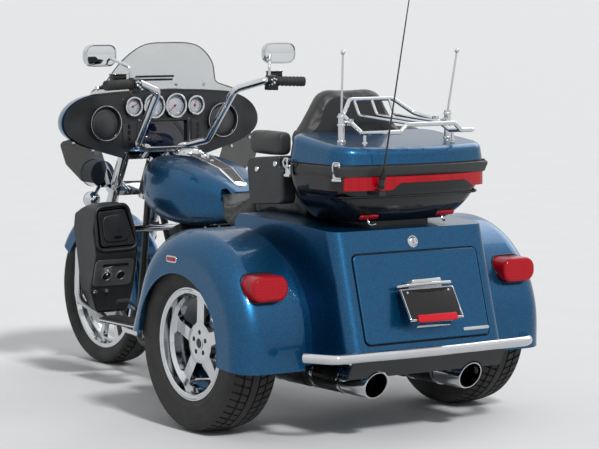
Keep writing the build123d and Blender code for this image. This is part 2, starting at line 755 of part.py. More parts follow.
# Engine: a 45 degree V-twin with its gearbox and primary drive
CRANK = (905, 330)
CYLINDER_LEAN = 22.5
FIN_COUNT = 7


def cylinder_plane(lean, along):
    """Plane square to a cylinder's axis, at a distance from the crankshaft."""
    up = Vector(sin(radians(lean)), 0, cos(radians(lean)))
    return Plane(origin=place(CRANK[0], 0, CRANK[1]) + up * along, x_dir=(0, 1, 0), z_dir=up)


with BuildPart() as crankcase:
    with BuildSketch(side(98)):
        with BuildLine():
            FilletPolyline((520, 205), (790, 190), (1010, 182), (1060, 330), (1010, 440), (905, 486), (800, 440),
                           (780, 420), (520, 430), radius=12, close=True)
        make_face()
    extrude(amount=196)
    with BuildSketch(side(168)):
        with BuildLine():
            FilletPolyline((560, 240), (900, 222), (1000, 250), (1010, 400), (900, 436), (560, 410),
                           radius=40, close=True)
        make_face()
    extrude(amount=70)
    with BuildSketch(side(-98)):
        with Locations((CRANK[0], CRANK[1] + 40)):
            Circle(96)
    extrude(amount=34)
keep(crankcase, "crankcase")

with BuildPart() as cylinders:
    for lean in (-CYLINDER_LEAN, CYLINDER_LEAN):
        with BuildSketch(cylinder_plane(lean, 150)):
            Circle(54)
        extrude(amount=100)
        for fin in range(FIN_COUNT):
            with BuildSketch(cylinder_plane(lean, 168 + 11.5 * fin)):
                RectangleRounded(150, 126, 40)
            extrude(amount=4)
        with BuildSketch(cylinder_plane(lean, 246)):
            RectangleRounded(150, 120, 24)
        extrude(amount=52)
        with BuildSketch(cylinder_plane(lean, 298)):
            RectangleRounded(168, 104, 30)
        extrude(amount=38)
    add(crankcase.part, mode=Mode.SUBTRACT)
keep(cylinders, "cylinders")

# Intake from between the cylinders to a round air cleaner on the right
INTAKE_AT = (905, 560)
with BuildPart() as air_cleaner:
    with BuildSketch(side(0)):
        with Locations(INTAKE_AT):
            Circle(32)
    extrude(amount=130)
    with BuildSketch(side(-112)):
        with Locations(INTAKE_AT):
            Circle(92)
    extrude(amount=76)
    fillet(faces().sort_by(Axis.Y)[0].edges(), 22)
    add(cylinders.part, mode=Mode.SUBTRACT)
keep(air_cleaner, "air_cleaner")

# Exhausts: header pipes into two silencers that end in slash-cut tips
TIP_AT = (214, 203)
TIP_END_X = -557
SILENCER_R = 52

TIP_R = 50
TIP_WALL = 5
TIP_JOINT_X = -380
PIPE_R = 21

with BuildPart() as exhausts:
    for side_sign in (-1, 1):
        y = side_sign * TIP_AT[0]
        rod((60, y, TIP_AT[1]), (TIP_JOINT_X, y, TIP_AT[1]), SILENCER_R)
        rod((120, y, TIP_AT[1]), (50, y, TIP_AT[1]), 32)
    right_y = -TIP_AT[0]
    tube([(1000, -80, 548), (1082, -130, 500), (1082, -190, 262), (760, right_y, TIP_AT[1]),
          (110, right_y, TIP_AT[1])], PIPE_R, 60)
    rod((812, -90, 500), (812, -120, 490), PIPE_R)
    tube([(812, -114, 492), (800, -190, 400), (770, right_y, TIP_AT[1] + 4)], PIPE_R, 30)
    tube([(570, right_y, TIP_AT[1]), (430, -150, TIP_AT[1] + 4), (430, 150, TIP_AT[1] + 4),
          (330, TIP_AT[0], TIP_AT[1]), (110, TIP_AT[0], TIP_AT[1])], PIPE_R - 2, 50)
    with BuildSketch(cross(TIP_JOINT_X)) as tip_ring:
        with Locations(TIP_AT, (right_y, TIP_AT[1])):
            Circle(TIP_R)
            Circle(TIP_R - TIP_WALL, mode=Mode.SUBTRACT)
    extrude(tip_ring.sketch, amount=TIP_END_X - TIP_JOINT_X)
    split(bisect_by=Plane(origin=place(TIP_END_X + 22, 0, TIP_AT[1]), x_dir=(0, 1, 0), z_dir=(1, 0, 0.4)),
          keep=Keep.TOP)
    for other in (crankcase, cylinders, air_cleaner, frame):
        add(other.part, mode=Mode.SUBTRACT)
keep(exhausts, "exhausts")

# Valance below the boot, notched round the exhaust tips
VALANCE = ((-583, 300), (-575, 300), (-543, 238), (-551, 234))
with BuildPart() as valance:
    with BuildSketch(side(BODY_HALF)):
        with BuildLine():
            Polyline(*VALANCE, close=True)
        make_face()
    extrude(amount=2 * BODY_HALF)
    with BuildSketch(cross(VALANCE[0][0])):
        with Locations(TIP_AT, (right_y, TIP_AT[1])):
            Circle(TIP_R + SHUT_LINE)
    extrude(amount=60, mode=Mode.SUBTRACT)
keep(valance, "valance")

# Footboards for rider and passenger on struts from the crankcase
BOARD_Y = 320
BOARDS = ((1000, 262, 300, 110), (560, 330, 230, 90))
with BuildPart() as footboards:
    for x, z, length, width in BOARDS:
        with BuildSketch(level(z)):
            with Locations((x, BOARD_Y)):
                RectangleRounded(length, width, 30)
        extrude(amount=16)
        rod((x, 84, z + 60), (x, BOARD_Y - 20, z + 8), 11)
    mirror(about=Plane.XZ)
    add(crankcase.part, mode=Mode.SUBTRACT)
keep(footboards, "footboards")

# Engine guard: one chromed bar round both flanks, ahead of the leg shields
GUARD_X = 1252
GUARD_R = 15
GUARD_ROUTE = [(1247, 112, 214), (GUARD_X, 250, 246), (GUARD_X, 405, 345), (1244, 402, 590), (1286, 200, 616)]
with BuildPart() as engine_guard:
    tube(both_sides(GUARD_ROUTE), GUARD_R, 60)
    add(frame.part, mode=Mode.SUBTRACT)
keep(engine_guard, "engine_guard")

# Leg shields: hollow glove boxes behind the guard bar, each with an opening in its rear face
SHIELD_SIDE = ((1070, 738), (1130, 750), (1232, 700), (1232, 300), (1190, 292), (1146, 400), (1070, 540))
SHIELD_FACE = ((290, 760), (424, 738), (434, 640), (420, 540), (402, 387), (352, 292), (212, 292), (206, 390),
               (232, 545), (262, 660))
SHIELD_DOOR = ((418, 716), (294, 724), (240, 578), (402, 574))
SHIELD_BENDS = (34, 24, 22, 22, 22, 34, 34, 22, 22, 22)
SHIELD_WALL = 4
SHIELD_BACK_X = SHIELD_SIDE[0][0]
DOOR_DEPTH = 12


def shield_form(inset):
    """The left leg shield as a solid block, drawn in by the inset."""
    with BuildPart() as form:
        with BuildSketch(cross(SHIELD_BACK_X)):
            with BuildLine():
                FilletPolyline(*SHIELD_FACE, radius=SHIELD_BENDS, close=True)
            make_face()
            if inset:
                offset(amount=-inset)
        extrude(amount=200)
        with BuildSketch(side(500)):
            with BuildLine():
                FilletPolyline(*SHIELD_SIDE, radius=16, close=True)
            make_face()
            if inset:
                offset(amount=-inset)
        extrude(amount=400, mode=Mode.INTERSECT)
    return form


with BuildPart() as leg_shields:
    add(shield_form(0).part)
    add(shield_form(SHIELD_WALL).part, mode=Mode.SUBTRACT)
    with BuildSketch(cross(SHIELD_BACK_X - 1)):
        with BuildLine():
            Polyline(*SHIELD_DOOR, close=True)
        make_face()
        offset(amount=SHUT_LINE)
    extrude(amount=DOOR_DEPTH, mode=Mode.SUBTRACT)
    mirror(about=Plane.XZ)
keep(leg_shields, "leg_shields")

with BuildPart() as glovebox_door:
    with BuildSketch(cross(SHIELD_BACK_X - DOOR_PROUD)):
        with BuildLine():
            FilletPolyline(*SHIELD_DOOR, radius=14, close=True)
        make_face()
    extrude(amount=DOOR_DEPTH)
    fillet(faces().sort_by(Axis.X)[0].edges(), 3)
keep_pair(glovebox_door, "glovebox_door")

# Fork: two legs ahead of the steering stem, held by a lower and an upper clamp
LEG_Y = 116
SLIDER_R = 30
LEG_TUBE_R = 24.5
FORK_AHEAD = Vector(cos(radians(RAKE)), 0, sin(radians(RAKE)))
AXLE_FROM_FLOOR = Vector(-TRAIL, 0, FRONT_TYRE_R)
AXLE_ALONG = AXLE_FROM_FLOOR.dot(FORK_UP)
LEG_AHEAD = AXLE_FROM_FLOOR.dot(FORK_AHEAD)
SLIDER_ALONG = (AXLE_ALONG - 44, AXLE_ALONG + 330)
LOWER_CLAMP = (830, 22)
UPPER_CLAMP = (1005, 24)
LEG_TOP = 1040
SPINDLE_R = 14
SPINDLE_HALF = 150
SPINDLE_GAP = 0.1
TOW_BORE_R = 8
RISER_Y = 48
BAR_CLAMP = (1262, 0, 960)


def fork_disc(y, along, height, radius):
    """Add a round bar that runs up the line of a fork leg."""
    with BuildSketch(steering_plane(along)) as section:
        with Locations((y, -LEG_AHEAD)):
            Circle(radius)
    extrude(section.sketch, amount=height)


with BuildPart() as fork:
    for y in (-LEG_Y, LEG_Y):
        fork_disc(y, SLIDER_ALONG[0], SLIDER_ALONG[1] - SLIDER_ALONG[0], SLIDER_R)
        fork_disc(y, SLIDER_ALONG[1] - 20, LEG_TOP - SLIDER_ALONG[1] + 20, LEG_TUBE_R)
        fork_disc(y, LEG_TOP - 6, 16, LEG_TUBE_R + 4)
    for along, height in (LOWER_CLAMP, UPPER_CLAMP):
        with BuildSketch(steering_plane(along)) as plate:
            Circle(28)
            with Locations((0, -LEG_AHEAD)):
                SlotOverall(2 * LEG_Y + 76, 76)
            with Locations((0, -LEG_AHEAD / 2)):
                Rectangle(56, LEG_AHEAD)
        extrude(plate.sketch, amount=height)
    with BuildSketch(steering_plane(LOWER_CLAMP[0])) as stem:
        Circle(STEM_R)
    extrude(stem.sketch, amount=UPPER_CLAMP[0] + UPPER_CLAMP[1] - LOWER_CLAMP[0])
    for y in (-RISER_Y, RISER_Y):
        rod((1318, y, 916), (BAR_CLAMP[0], y, BAR_CLAMP[2]), 13)
    with BuildSketch(side(2 * LEG_Y)) as bore:
        with Locations((WHEELBASE, FRONT_TYRE_R)):
            Circle(SPINDLE_R + SPINDLE_GAP)
    extrude(bore.sketch, amount=4 * LEG_Y, mode=Mode.SUBTRACT)

# Front spindle: shouldered between the legs and bored through for a stand's pin
with BuildPart() as front_axle:
    for half, radius in ((LEG_Y - SLIDER_R - 2, AXLE_R), (SPINDLE_HALF, SPINDLE_R)):
        with BuildSketch(side(half)) as section:
            with Locations((WHEELBASE, FRONT_TYRE_R)):
                Circle(radius)
        extrude(section.sketch, amount=2 * half)
    with BuildSketch(side(SPINDLE_HALF)) as section:
        with Locations((WHEELBASE, FRONT_TYRE_R)):
            Circle(TOW_BORE_R)
    extrude(section.sketch, amount=2 * SPINDLE_HALF, mode=Mode.SUBTRACT)
keep(front_axle, "front_axle")

# Brake calipers: horseshoe blocks behind the legs with a slot for each disc
CALIPER_R = (106, 170)
CALIPER_Y = (32, LEG_Y - SLIDER_R)
CALIPER_SLOT = (40, 58)
CALIPER_ARC = (122, 52)

with BuildPart() as front_calipers:
    for inner, outer, low, high, mode in (
            (*CALIPER_R, *CALIPER_Y, Mode.ADD),
            (0, FRONT_DISC_R + 5, *CALIPER_SLOT, Mode.SUBTRACT)):
        with BuildSketch(side(low)) as sector:
            with Locations((WHEELBASE, FRONT_TYRE_R)):
                Circle(outer)
                if inner:
                    Circle(inner, mode=Mode.SUBTRACT)
        extrude(sector.sketch, amount=low - high, mode=mode)
    for turn, keep_side in ((CALIPER_ARC[0], Keep.TOP), (sum(CALIPER_ARC), Keep.BOTTOM)):
        edge = radians(turn)
        split(bisect_by=Plane(origin=place(WHEELBASE, 0, FRONT_TYRE_R), x_dir=(0, 1, 0),
                              z_dir=(-sin(edge), 0, cos(edge))), keep=keep_side)
    mirror(about=Plane.XZ)
keep(front_calipers, "front_calipers")

# Front mudguard: a channel bent round the tyre, bolted to the legs by round bosses
FENDER_HALF = 82
FENDER_T = 4
FENDER_R = 340
FENDER_SKIRT_R = 262
FENDER_ROUND = 36
FENDER_AHEAD = 58
FENDER_BEHIND = 100

with BuildPart() as front_fender:
    with BuildSketch(spin_section(WHEELBASE, 0, FRONT_TYRE_R)) as channel:
        with BuildLine():
            inner_half, inner_r = FENDER_HALF - FENDER_T, FENDER_R - FENDER_T
            FilletPolyline((-FENDER_HALF, FENDER_SKIRT_R), (-FENDER_HALF, FENDER_R), (FENDER_HALF, FENDER_R),
                           (FENDER_HALF, FENDER_SKIRT_R), radius=FENDER_ROUND)
            Line((FENDER_HALF, FENDER_SKIRT_R), (inner_half, FENDER_SKIRT_R))
            FilletPolyline((inner_half, FENDER_SKIRT_R), (inner_half, inner_r), (-inner_half, inner_r),
                           (-inner_half, FENDER_SKIRT_R), radius=FENDER_ROUND - FENDER_T)
            Line((-inner_half, FENDER_SKIRT_R), (-FENDER_HALF, FENDER_SKIRT_R))
        make_face()
    revolve(channel.sketch, axis=lateral(WHEELBASE, FRONT_TYRE_R), revolution_arc=FENDER_AHEAD)
    revolve(channel.sketch, axis=lateral(WHEELBASE, FRONT_TYRE_R, -1), revolution_arc=FENDER_BEHIND)
    for along in (AXLE_ALONG + 285, AXLE_ALONG + 315):
        for direction in (-1, 1):
            boss = steering_plane(along).from_local_coords((direction * (FENDER_HALF - 1), -LEG_AHEAD, 0))
            with BuildSketch(Plane(origin=boss, z_dir=(0, direction, 0))) as pad:
                Circle(9)
            extrude(pad.sketch, amount=12)
    add(fork.part, mode=Mode.SUBTRACT)
keep(front_fender, "front_fender")

# Fairing: a hollow wing round the headlamp, open at the rear where the dash closes it
FAIRING_BACK_X = 1249
FAIRING_MIDDLE_Z = 1055
FAIRING_OUTLINE = ((0, 1197), (160, 1192), (285, 1186), (410, 1156), (474, 1090), (474, 1040), (430, 994),
                   (298, 945), (150, 908), (0, 902))
FAIRING_SECTIONS = ((0, 1, 1), (90, 0.93, 0.95), (200, 0.72, 0.86), (290, 0.38, 0.7))
FAIRING_WALL = 5
HEADLAMP_R = 92


def wing(ahead, across, tall, wall):
    """One cross-section of the fairing, scaled about its middle."""
    with BuildSketch(cross(FAIRING_BACK_X + ahead)) as section:
        with BuildLine():
            half = [(y * across - (wall if y > 300 else 0), FAIRING_MIDDLE_Z + (z - FAIRING_MIDDLE_Z) * tall
                     - (wall if z > FAIRING_MIDDLE_Z else -wall)) for y, z in FAIRING_OUTLINE]
            Spline(*half, *[(-y, z) for y, z in reversed(half[1:-1])], periodic=True)
        make_face()
    return section.sketch


def wing_form(wall):
    """The fairing as a solid block, drawn in by the wall."""
    with BuildPart() as form:
        loft([wing(ahead - (wall if ahead > 200 else 0), across, tall, wall)
              for ahead, across, tall in FAIRING_SECTIONS])
    return form


fairing_block = wing_form(0)
with BuildPart() as fairing_shell:
    add(fairing_block.part)
    add(wing_form(FAIRING_WALL).part, mode=Mode.SUBTRACT)
    with BuildSketch(level(880)) as belly:
        with BuildLine():
            FilletPolyline((1200, -190), (1420, -190), (1420, 190), (1200, 190), radius=30, close=True)
        make_face()
    extrude(belly.sketch, amount=70, mode=Mode.SUBTRACT)
    with BuildSketch(cross(FAIRING_BACK_X + 200)) as nose:
        with Locations((0, FAIRING_MIDDLE_Z)):
            Circle(HEADLAMP_R)
    extrude(nose.sketch, amount=200, mode=Mode.SUBTRACT)
keep(fairing_shell, "fairing_shell")

# Headlamp in the fairing's nose
HEADLAMP_X = (1470, 1556)
with BuildPart() as headlamp:
    with BuildSketch(cross(HEADLAMP_X[0])) as can:
        with Locations((0, FAIRING_MIDDLE_Z)):
            Circle(HEADLAMP_R)
    extrude(can.sketch, amount=HEADLAMP_X[1] - HEADLAMP_X[0])
    fillet(faces().sort_by(Axis.X)[-1].edges(), 14)
    chamfer(faces().sort_by(Axis.X)[0].edges(), 30)
keep(headlamp, "headlamp")

# Handlebar and its grips
BAR_R = 16
BAR_ROUTE = [(1262, 0, 960), (1240, 110, 962), (1165, 170, 985), (980, 185, 1200), (930, 300, 1235),
             (900, 470, 1230)]
GRIP_R = 19
GRIP_START = 0.28
HOUSING_SPAN = (0.06, 0.26)


def bar_point(share):
    """A place along the handlebar's last straight, from its bend to its end."""
    return tuple(a + (b - a) * share for a, b in zip(BAR_ROUTE[-2], BAR_ROUTE[-1]))


with BuildPart() as handlebar:
    tube(BAR_ROUTE, BAR_R, 40)
    mirror(about=Plane.XZ)
keep(handlebar, "handlebar")

with BuildPart() as grips:
    rod(bar_point(GRIP_START), bar_point(1), GRIP_R)
    rod(bar_point(GRIP_START), bar_point(GRIP_START + 0.03), GRIP_R + 4)
    rod(bar_point(1), bar_point(1.03), GRIP_R + 1)
    mirror(about=Plane.XZ)
    add(handlebar.part, mode=Mode.SUBTRACT)
keep(grips, "grips")

with BuildPart() as clamped_fork:
    add(fork.part)
    add(handlebar.part, mode=Mode.SUBTRACT)
keep(clamped_fork, "fork")

# Switch housings, levers and mirrors on the bar
MIRROR_AT = (1012, 430, 1346)
with BuildPart() as hand_controls:
    rod(bar_point(HOUSING_SPAN[0]), bar_point(HOUSING_SPAN[1]), 25)
    tube([(950, 330, 1232), (985, 345, 1228), (972, 470, 1218)], 7, 18)
    mirror(about=Plane.XZ)
    add(handlebar.part, mode=Mode.SUBTRACT)
keep(hand_controls, "hand_controls")

with BuildPart() as mirrors:
    tube([(945, 334, 1250), (950, 336, 1300), (MIRROR_AT[0] + 8, 390, 1338)], 6, 20)
    with BuildSketch(Plane(origin=place(*MIRROR_AT), x_dir=(0, 1, 0), z_dir=(-1, -0.1, 0))) as glass:
        RectangleRounded(150, 88, 38)
    extrude(glass.sketch, amount=-20)
    mirror(about=Plane.XZ)
    add(hand_controls.part, mode=Mode.SUBTRACT)
keep(mirrors, "mirrors")

# Dash: the fairing's black inner panel with gauge pods, speaker rings and a screen frame
DASH_T = 12
GAUGES = ((151, 1128, 34), (53, 1128, 45))
SPEAKERS = (285, 1063, 64)
SCREEN_AT = (0, 1012)
SCREEN_SIZE = (214, 112)
with BuildPart() as fairing_dash:
    extrude(wing(0, 0.985, 0.97, 0), amount=-DASH_T)
    with BuildSketch(cross(FAIRING_BACK_X - DASH_T)) as pods:
        for y, z, radius in (*GAUGES, SPEAKERS):
            with Locations((y, z), (-y, z)):
                Circle(radius + 7)
                Circle(radius, mode=Mode.SUBTRACT)
        with Locations(SCREEN_AT):
            RectangleRounded(SCREEN_SIZE[0] + 20, SCREEN_SIZE[1] + 20, 14)
            RectangleRounded(*SCREEN_SIZE, 8, mode=Mode.SUBTRACT)
    extrude(pods.sketch, amount=-16)
    with BuildSketch(level(880)) as belly:
        with BuildLine():
            Polyline((1200, -190), (1300, -190), (1300, 190), (1200, 190), close=True)
        make_face()
    extrude(belly.sketch, amount=60, mode=Mode.SUBTRACT)
    add(handlebar.part, mode=Mode.SUBTRACT)
keep(fairing_dash, "fairing_dash")

# Windshield: a curved sheet that leans back from the fairing's brow
SCREEN_FOOT = (1390, 1150)
SCREEN_LEAN = Vector(-160, 0, 203)
SCREEN_BOW = 700
SCREEN_T = 4
SCREEN_EDGE = ((330, 1140), (352, 1198), (272, 1222), (190, 1394))
SCREEN_BENDS = (10, 18, 18, 215)
screen_foot = Plane(origin=place(SCREEN_FOOT[0], 0, SCREEN_FOOT[1]), x_dir=(0, 1, 0), z_dir=SCREEN_LEAN)

with BuildPart() as windshield:
    with BuildSketch(screen_foot) as bow:
        with Locations((0, SCREEN_BOW)):
            Circle(SCREEN_BOW)
            Circle(SCREEN_BOW - SCREEN_T, mode=Mode.SUBTRACT)
    extrude(bow.sketch, amount=340)
    with BuildSketch(cross(1100)) as face:
        with BuildLine():
            FilletPolyline(*SCREEN_EDGE, *[(-y, z) for y, z in reversed(SCREEN_EDGE)],
                           radius=SCREEN_BENDS + SCREEN_BENDS[::-1], close=True)
        make_face()
    extrude(face.sketch, amount=300, mode=Mode.INTERSECT)
    add(fairing_block.part, mode=Mode.SUBTRACT)
keep(windshield, "windshield")

# Smoked wind deflectors clipped below the fairing's wings
DEFLECTOR_X = 1249
DEFLECTOR_FACE = ((300, 958), (425, 1006), (492, 990), (462, 900), (388, 828), (290, 812), (272, 880))
with BuildPart() as wind_deflectors:
    with BuildSketch(cross(DEFLECTOR_X - SKIN)) as plate:
        with BuildLine():
            FilletPolyline(*DEFLECTOR_FACE, radius=18, close=True)
        make_face()
    extrude(plate.sketch, amount=-SKIN)
    mirror(about=Plane.XZ)
    add(fairing_dash.part, mode=Mode.SUBTRACT)
keep(wind_deflectors, "wind_deflectors")

# Lamp bar across the fork with two passing lamps and the turn signals
PASSING = (170, 838, 56)
BAR_X = 1462
SIGNAL_AT = (1392, 255, 738)
with BuildPart() as light_bar:
    rod((BAR_X, -185, 792), (BAR_X, 185, 792), 12)
    for side_sign in (-1, 1):
        rod((1400, side_sign * 70, 764), (BAR_X, side_sign * 70, 792), 10)
        with BuildSketch(cross(BAR_X - 12)) as lamp:
            with Locations((side_sign * PASSING[0], PASSING[1])):
                Circle(PASSING[2])
        extrude(lamp.sketch, amount=84)
        rod((BAR_X, side_sign * 175, 792), (SIGNAL_AT[0], side_sign * SIGNAL_AT[1], SIGNAL_AT[2]), 8)
        ball(SIGNAL_AT[0], side_sign * SIGNAL_AT[1], SIGNAL_AT[2], 34)
    add(fork.part, mode=Mode.SUBTRACT)
keep(light_bar, "light_bar")
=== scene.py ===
"""Touring trike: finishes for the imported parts, and the padded, moulded and small pieces around them."""

from math import atan2, cos, hypot, pi, radians, sin, tau

import bmesh
import bpy
from bpy.props import FloatProperty, FloatVectorProperty, IntProperty, PointerProperty
from mathutils import Matrix, Vector
from mathutils.bvhtree import BVHTree


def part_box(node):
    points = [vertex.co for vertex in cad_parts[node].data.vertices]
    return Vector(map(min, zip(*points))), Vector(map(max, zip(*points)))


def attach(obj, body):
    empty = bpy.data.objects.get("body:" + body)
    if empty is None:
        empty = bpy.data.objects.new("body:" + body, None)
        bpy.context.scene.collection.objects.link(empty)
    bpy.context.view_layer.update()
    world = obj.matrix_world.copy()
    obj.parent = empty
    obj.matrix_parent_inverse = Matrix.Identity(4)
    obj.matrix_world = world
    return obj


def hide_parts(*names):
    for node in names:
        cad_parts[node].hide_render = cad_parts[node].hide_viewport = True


bl_info = {
    "name": "Touring trike",
    "version": (1, 0, 0),
    "blender": (4, 5, 0),
    "location": "3D View > Sidebar > Trike",
    "description": "Dresses the packed trike with finishes, tyres, cushions, lamps and trim",
    "category": "Object",
}

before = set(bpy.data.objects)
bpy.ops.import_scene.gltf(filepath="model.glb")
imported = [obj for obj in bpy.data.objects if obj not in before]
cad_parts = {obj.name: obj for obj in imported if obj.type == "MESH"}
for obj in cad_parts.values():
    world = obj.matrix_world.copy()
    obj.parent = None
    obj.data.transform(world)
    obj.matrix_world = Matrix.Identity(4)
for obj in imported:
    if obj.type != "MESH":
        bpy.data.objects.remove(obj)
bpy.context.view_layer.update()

MM = 0.001
AHEAD, LEFT, UP = Vector((1, 0, 0)), Vector((0, 1, 0)), Vector((0, 0, 1))
BACK, RIGHT = -AHEAD, -LEFT
MIRROR = Matrix.Scale(-1, 4, LEFT)
rim_low, rim_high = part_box("rear_rim_left")
REAR_AXLE_X = (rim_low.x + rim_high.x) / 2

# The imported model's own sizes that the pieces are set by, in millimetres
WHEELBASE = 1670
REAR_WHEEL_Y = 570
# Tyres: radius, width, the bead's radius and its distance from the tyre's middle
REAR_TYRE = (323.5, 205, 207.5, 84.5)
FRONT_TYRE = (319.5, 130, 251.5, 43)
RAKE = radians(27)
FORK_UP = Vector((-sin(RAKE), 0, cos(RAKE)))
# The boot's back: how far ahead and how high its foot is, the way up it and the way out of it
BOOT_FOOT = (-583, 300)
BOOT_UP = Vector((120, 0, 420)).normalized()
BOOT_OUT = Vector((-420, 0, 120)).normalized()
# How far ahead the crankshaft and the dash's face are
CRANK_X, DASH_X = 905, 1237.5
CASE_CORNER_R = 88

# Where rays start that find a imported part's face: behind the trike, behind the screen, above the seats
BEHIND, INSIDE, ABOVE = -700, 900, 1100


def place(x, y, z):
    """A point in metres from millimetres ahead of the rear axle, to the left and up."""
    return Vector((REAR_AXLE_X + x * MM, y * MM, z * MM))


FRONT_AXLE = place(WHEELBASE, 0, FRONT_TYRE[0])
# On the left silencer's axis, abreast of the rear axle
SILENCER = place(0, 214, 203)


def moved(point, *steps):
    """A place moved along directions, each one followed by its distance in millimetres."""
    for direction, distance in zip(steps[::2], steps[1::2]):
        point = point + direction * distance * MM
    return point


def boot_place(across, up, out):
    """A point on the boot's leaning back, from millimetres to the left, up its slope and out of it."""
    return moved(place(BOOT_FOOT[0], across, BOOT_FOOT[1]), BOOT_UP, up, BOOT_OUT, out)


def hue(code):
    """An sRGB hex code as a linear colour."""
    parts = [int(code[i:i + 2], 16) / 255 for i in (1, 3, 5)]
    return tuple(c / 12.92 if c <= 0.04045 else ((c + 0.055) / 1.055) ** 2.4 for c in parts) + (1.0,)


# Steps of modelling


def deselect():
    """Leaves edit mode and selects nothing."""
    if bpy.context.mode != "OBJECT":
        bpy.ops.object.mode_set(mode="OBJECT")
    bpy.ops.object.select_all(action="DESELECT")


def choose(*pieces):
    """Selects these pieces alone, the first one active."""
    deselect()
    for piece in pieces:
        piece.select_set(True)
    bpy.context.view_layer.objects.active = pieces[0]


def primitive(kind, **settings):
    """Adds a primitive and puts its place into its mesh."""
    deselect()
    getattr(bpy.ops.mesh, f"primitive_{kind}_add")(**settings)
    bpy.ops.object.transform_apply(location=True, rotation=True, scale=True)
    return bpy.context.active_object


def tidy(piece, gap=1e-6):
    """Merges a piece's doubled corners and points its faces outwards."""
    choose(piece)
    bpy.ops.object.mode_set(mode="EDIT")
    bpy.ops.mesh.select_all(action="SELECT")
    bpy.ops.mesh.remove_doubles(threshold=gap)
    bpy.ops.mesh.normals_make_consistent(inside=False)
    bpy.ops.object.mode_set(mode="OBJECT")
    return piece


def turned(centre, axis, profile, steps=48, ring=False):
    """A piece turned round an axis from (radius, height) pairs in millimetres; a ring has no end faces."""
    (radius, height), *others = profile
    piece = primitive("circle", vertices=steps, radius=radius * MM, location=centre + axis * height * MM,
                      rotation=UP.rotation_difference(axis).to_euler(),
                      fill_type="NOTHING" if ring else "NGON")
    extrude = bpy.ops.mesh.extrude_edges_move if ring else bpy.ops.mesh.extrude_region_move
    bpy.ops.object.mode_set(mode="EDIT")
    bpy.ops.mesh.select_all(action="SELECT")
    for new_radius, new_height in others:
        extrude(TRANSFORM_OT_translate={"value": tuple(axis * (new_height - height) * MM)})
        bpy.ops.transform.resize(value=(new_radius / radius,) * 3,
                                 center_override=tuple(centre + axis * new_height * MM))
        radius, height = new_radius, new_height
    return tidy(piece)


def piped(points, radius, loop=False, straight=False):
    """A round bar or bead of a radius in millimetres along a smooth line, or along straight runs."""
    deselect()
    bpy.ops.curve.primitive_nurbs_path_add()
    curve = bpy.context.active_object.data
    curve.splines.clear()
    spline = curve.splines.new("NURBS")
    spline.points.add(len(points) - 1)
    for control, point in zip(spline.points, points):
        control.co = (*point, 1)
    spline.use_cyclic_u = loop
    spline.use_endpoint_u = not loop
    spline.order_u = 2 if straight else min(3, len(points))
    spline.resolution_u = 6
    curve.bevel_depth = radius * MM
    curve.bevel_resolution = 2
    curve.use_fill_caps = not loop
    bpy.ops.object.convert(target="MESH")
    return tidy(bpy.context.active_object)


def plate(outline, thickness, origin, across, up):
    """A flat piece cut to an outline in millimetres, thickened along across x up."""
    piece = primitive("circle", vertices=len(outline), radius=1, fill_type="NGON")
    for vertex, (a, b) in zip(piece.data.vertices, outline):
        vertex.co = origin + across * a * MM + up * b * MM
    choose(piece)
    bpy.ops.object.mode_set(mode="EDIT")
    bpy.ops.mesh.select_all(action="SELECT")
    run = across.cross(up) * thickness * MM
    bpy.ops.mesh.extrude_region_move(TRANSFORM_OT_translate={"value": tuple(run)})
    return tidy(piece)


def surface(rows):
    """A sheet through rows of places: a grid whose corners are moved there."""
    piece = primitive("grid", x_subdivisions=len(rows[0]) - 1, y_subdivisions=len(rows) - 1)
    for vertex, point in zip(piece.data.vertices, [point for row in rows for point in row]):
        vertex.co = point
    return piece


def softened(piece, kind, **settings):
    """Adds one modifier with its settings and applies it."""
    choose(piece)
    modifier = piece.modifiers.new(kind.title(), kind)
    for name, value in settings.items():
        setattr(modifier, name, value)
    bpy.ops.object.modifier_apply(modifier=modifier.name)
    return piece


def bevelled(piece, width, steps=2, angle=40):
    """Rounds a piece's sharp edges by a width in millimetres."""
    return softened(piece, "BEVEL", width=width * MM, segments=steps, limit_method="ANGLE",
                    angle_limit=radians(angle))


def slab(outline, thickness, origin, across, up, edge, steps=2):
    """A plate whose edges are rounded by some millimetres."""
    return bevelled(plate(outline, thickness, origin, across, up), edge, steps)


def skin_through(rows, thick, offset=1):
    """A sheet of a thickness in millimetres through rows of places."""
    return tidy(softened(surface(rows), "SOLIDIFY", thickness=thick * MM, offset=offset))


def duplicate(piece, move):
    """A moved copy of a piece, with its own mesh."""
    copy = piece.copy()
    copy.data = piece.data.copy()
    bpy.context.collection.objects.link(copy)
    copy.data.transform(move)
    if move.determinant() < 0:
        copy.data.flip_normals()
    return copy


def copies(piece, moves):
    """Copies of a piece, one for each move, joined into one."""
    made = [duplicate(piece, move) for move in moves]
    bpy.data.objects.remove(piece)
    return joined(*made)


def joined(*pieces):
    """Several pieces as one."""
    choose(*pieces)
    if len(pieces) > 1:
        bpy.ops.object.join()
    return bpy.context.active_object


def round_about(centre, axis, count, sweep=tau, first=0.0):
    """Turning moves about a line, spread evenly over a sweep."""
    shift = Matrix.Translation(centre)
    turns = [Matrix.Rotation(first + sweep * i / count, 4, axis) for i in range(count)]
    return [shift @ turn @ shift.inverted() for turn in turns]


def rounded(corners, radius, steps=5):
    """A closed outline whose corners are rounded, in the unit of its numbers."""
    outline = []
    for i, corner in enumerate(corners):
        at, before, after = (Vector(corners[j % len(corners)]) for j in (i, i - 1, i + 1))
        to_before, to_after = (before - at).normalized(), (after - at).normalized()
        half = to_before.angle(to_after) / 2
        reach = min(radius / max(abs(sin(half) / cos(half)), 1e-3),
                    0.49 * min((before - at).length, (after - at).length))
        start, end = at + to_before * reach, at + to_after * reach
        for step in range(steps + 1):
            share = step / steps
            outline.append(tuple(start.lerp(at, share).lerp(at.lerp(end, share), share)))
    return outline


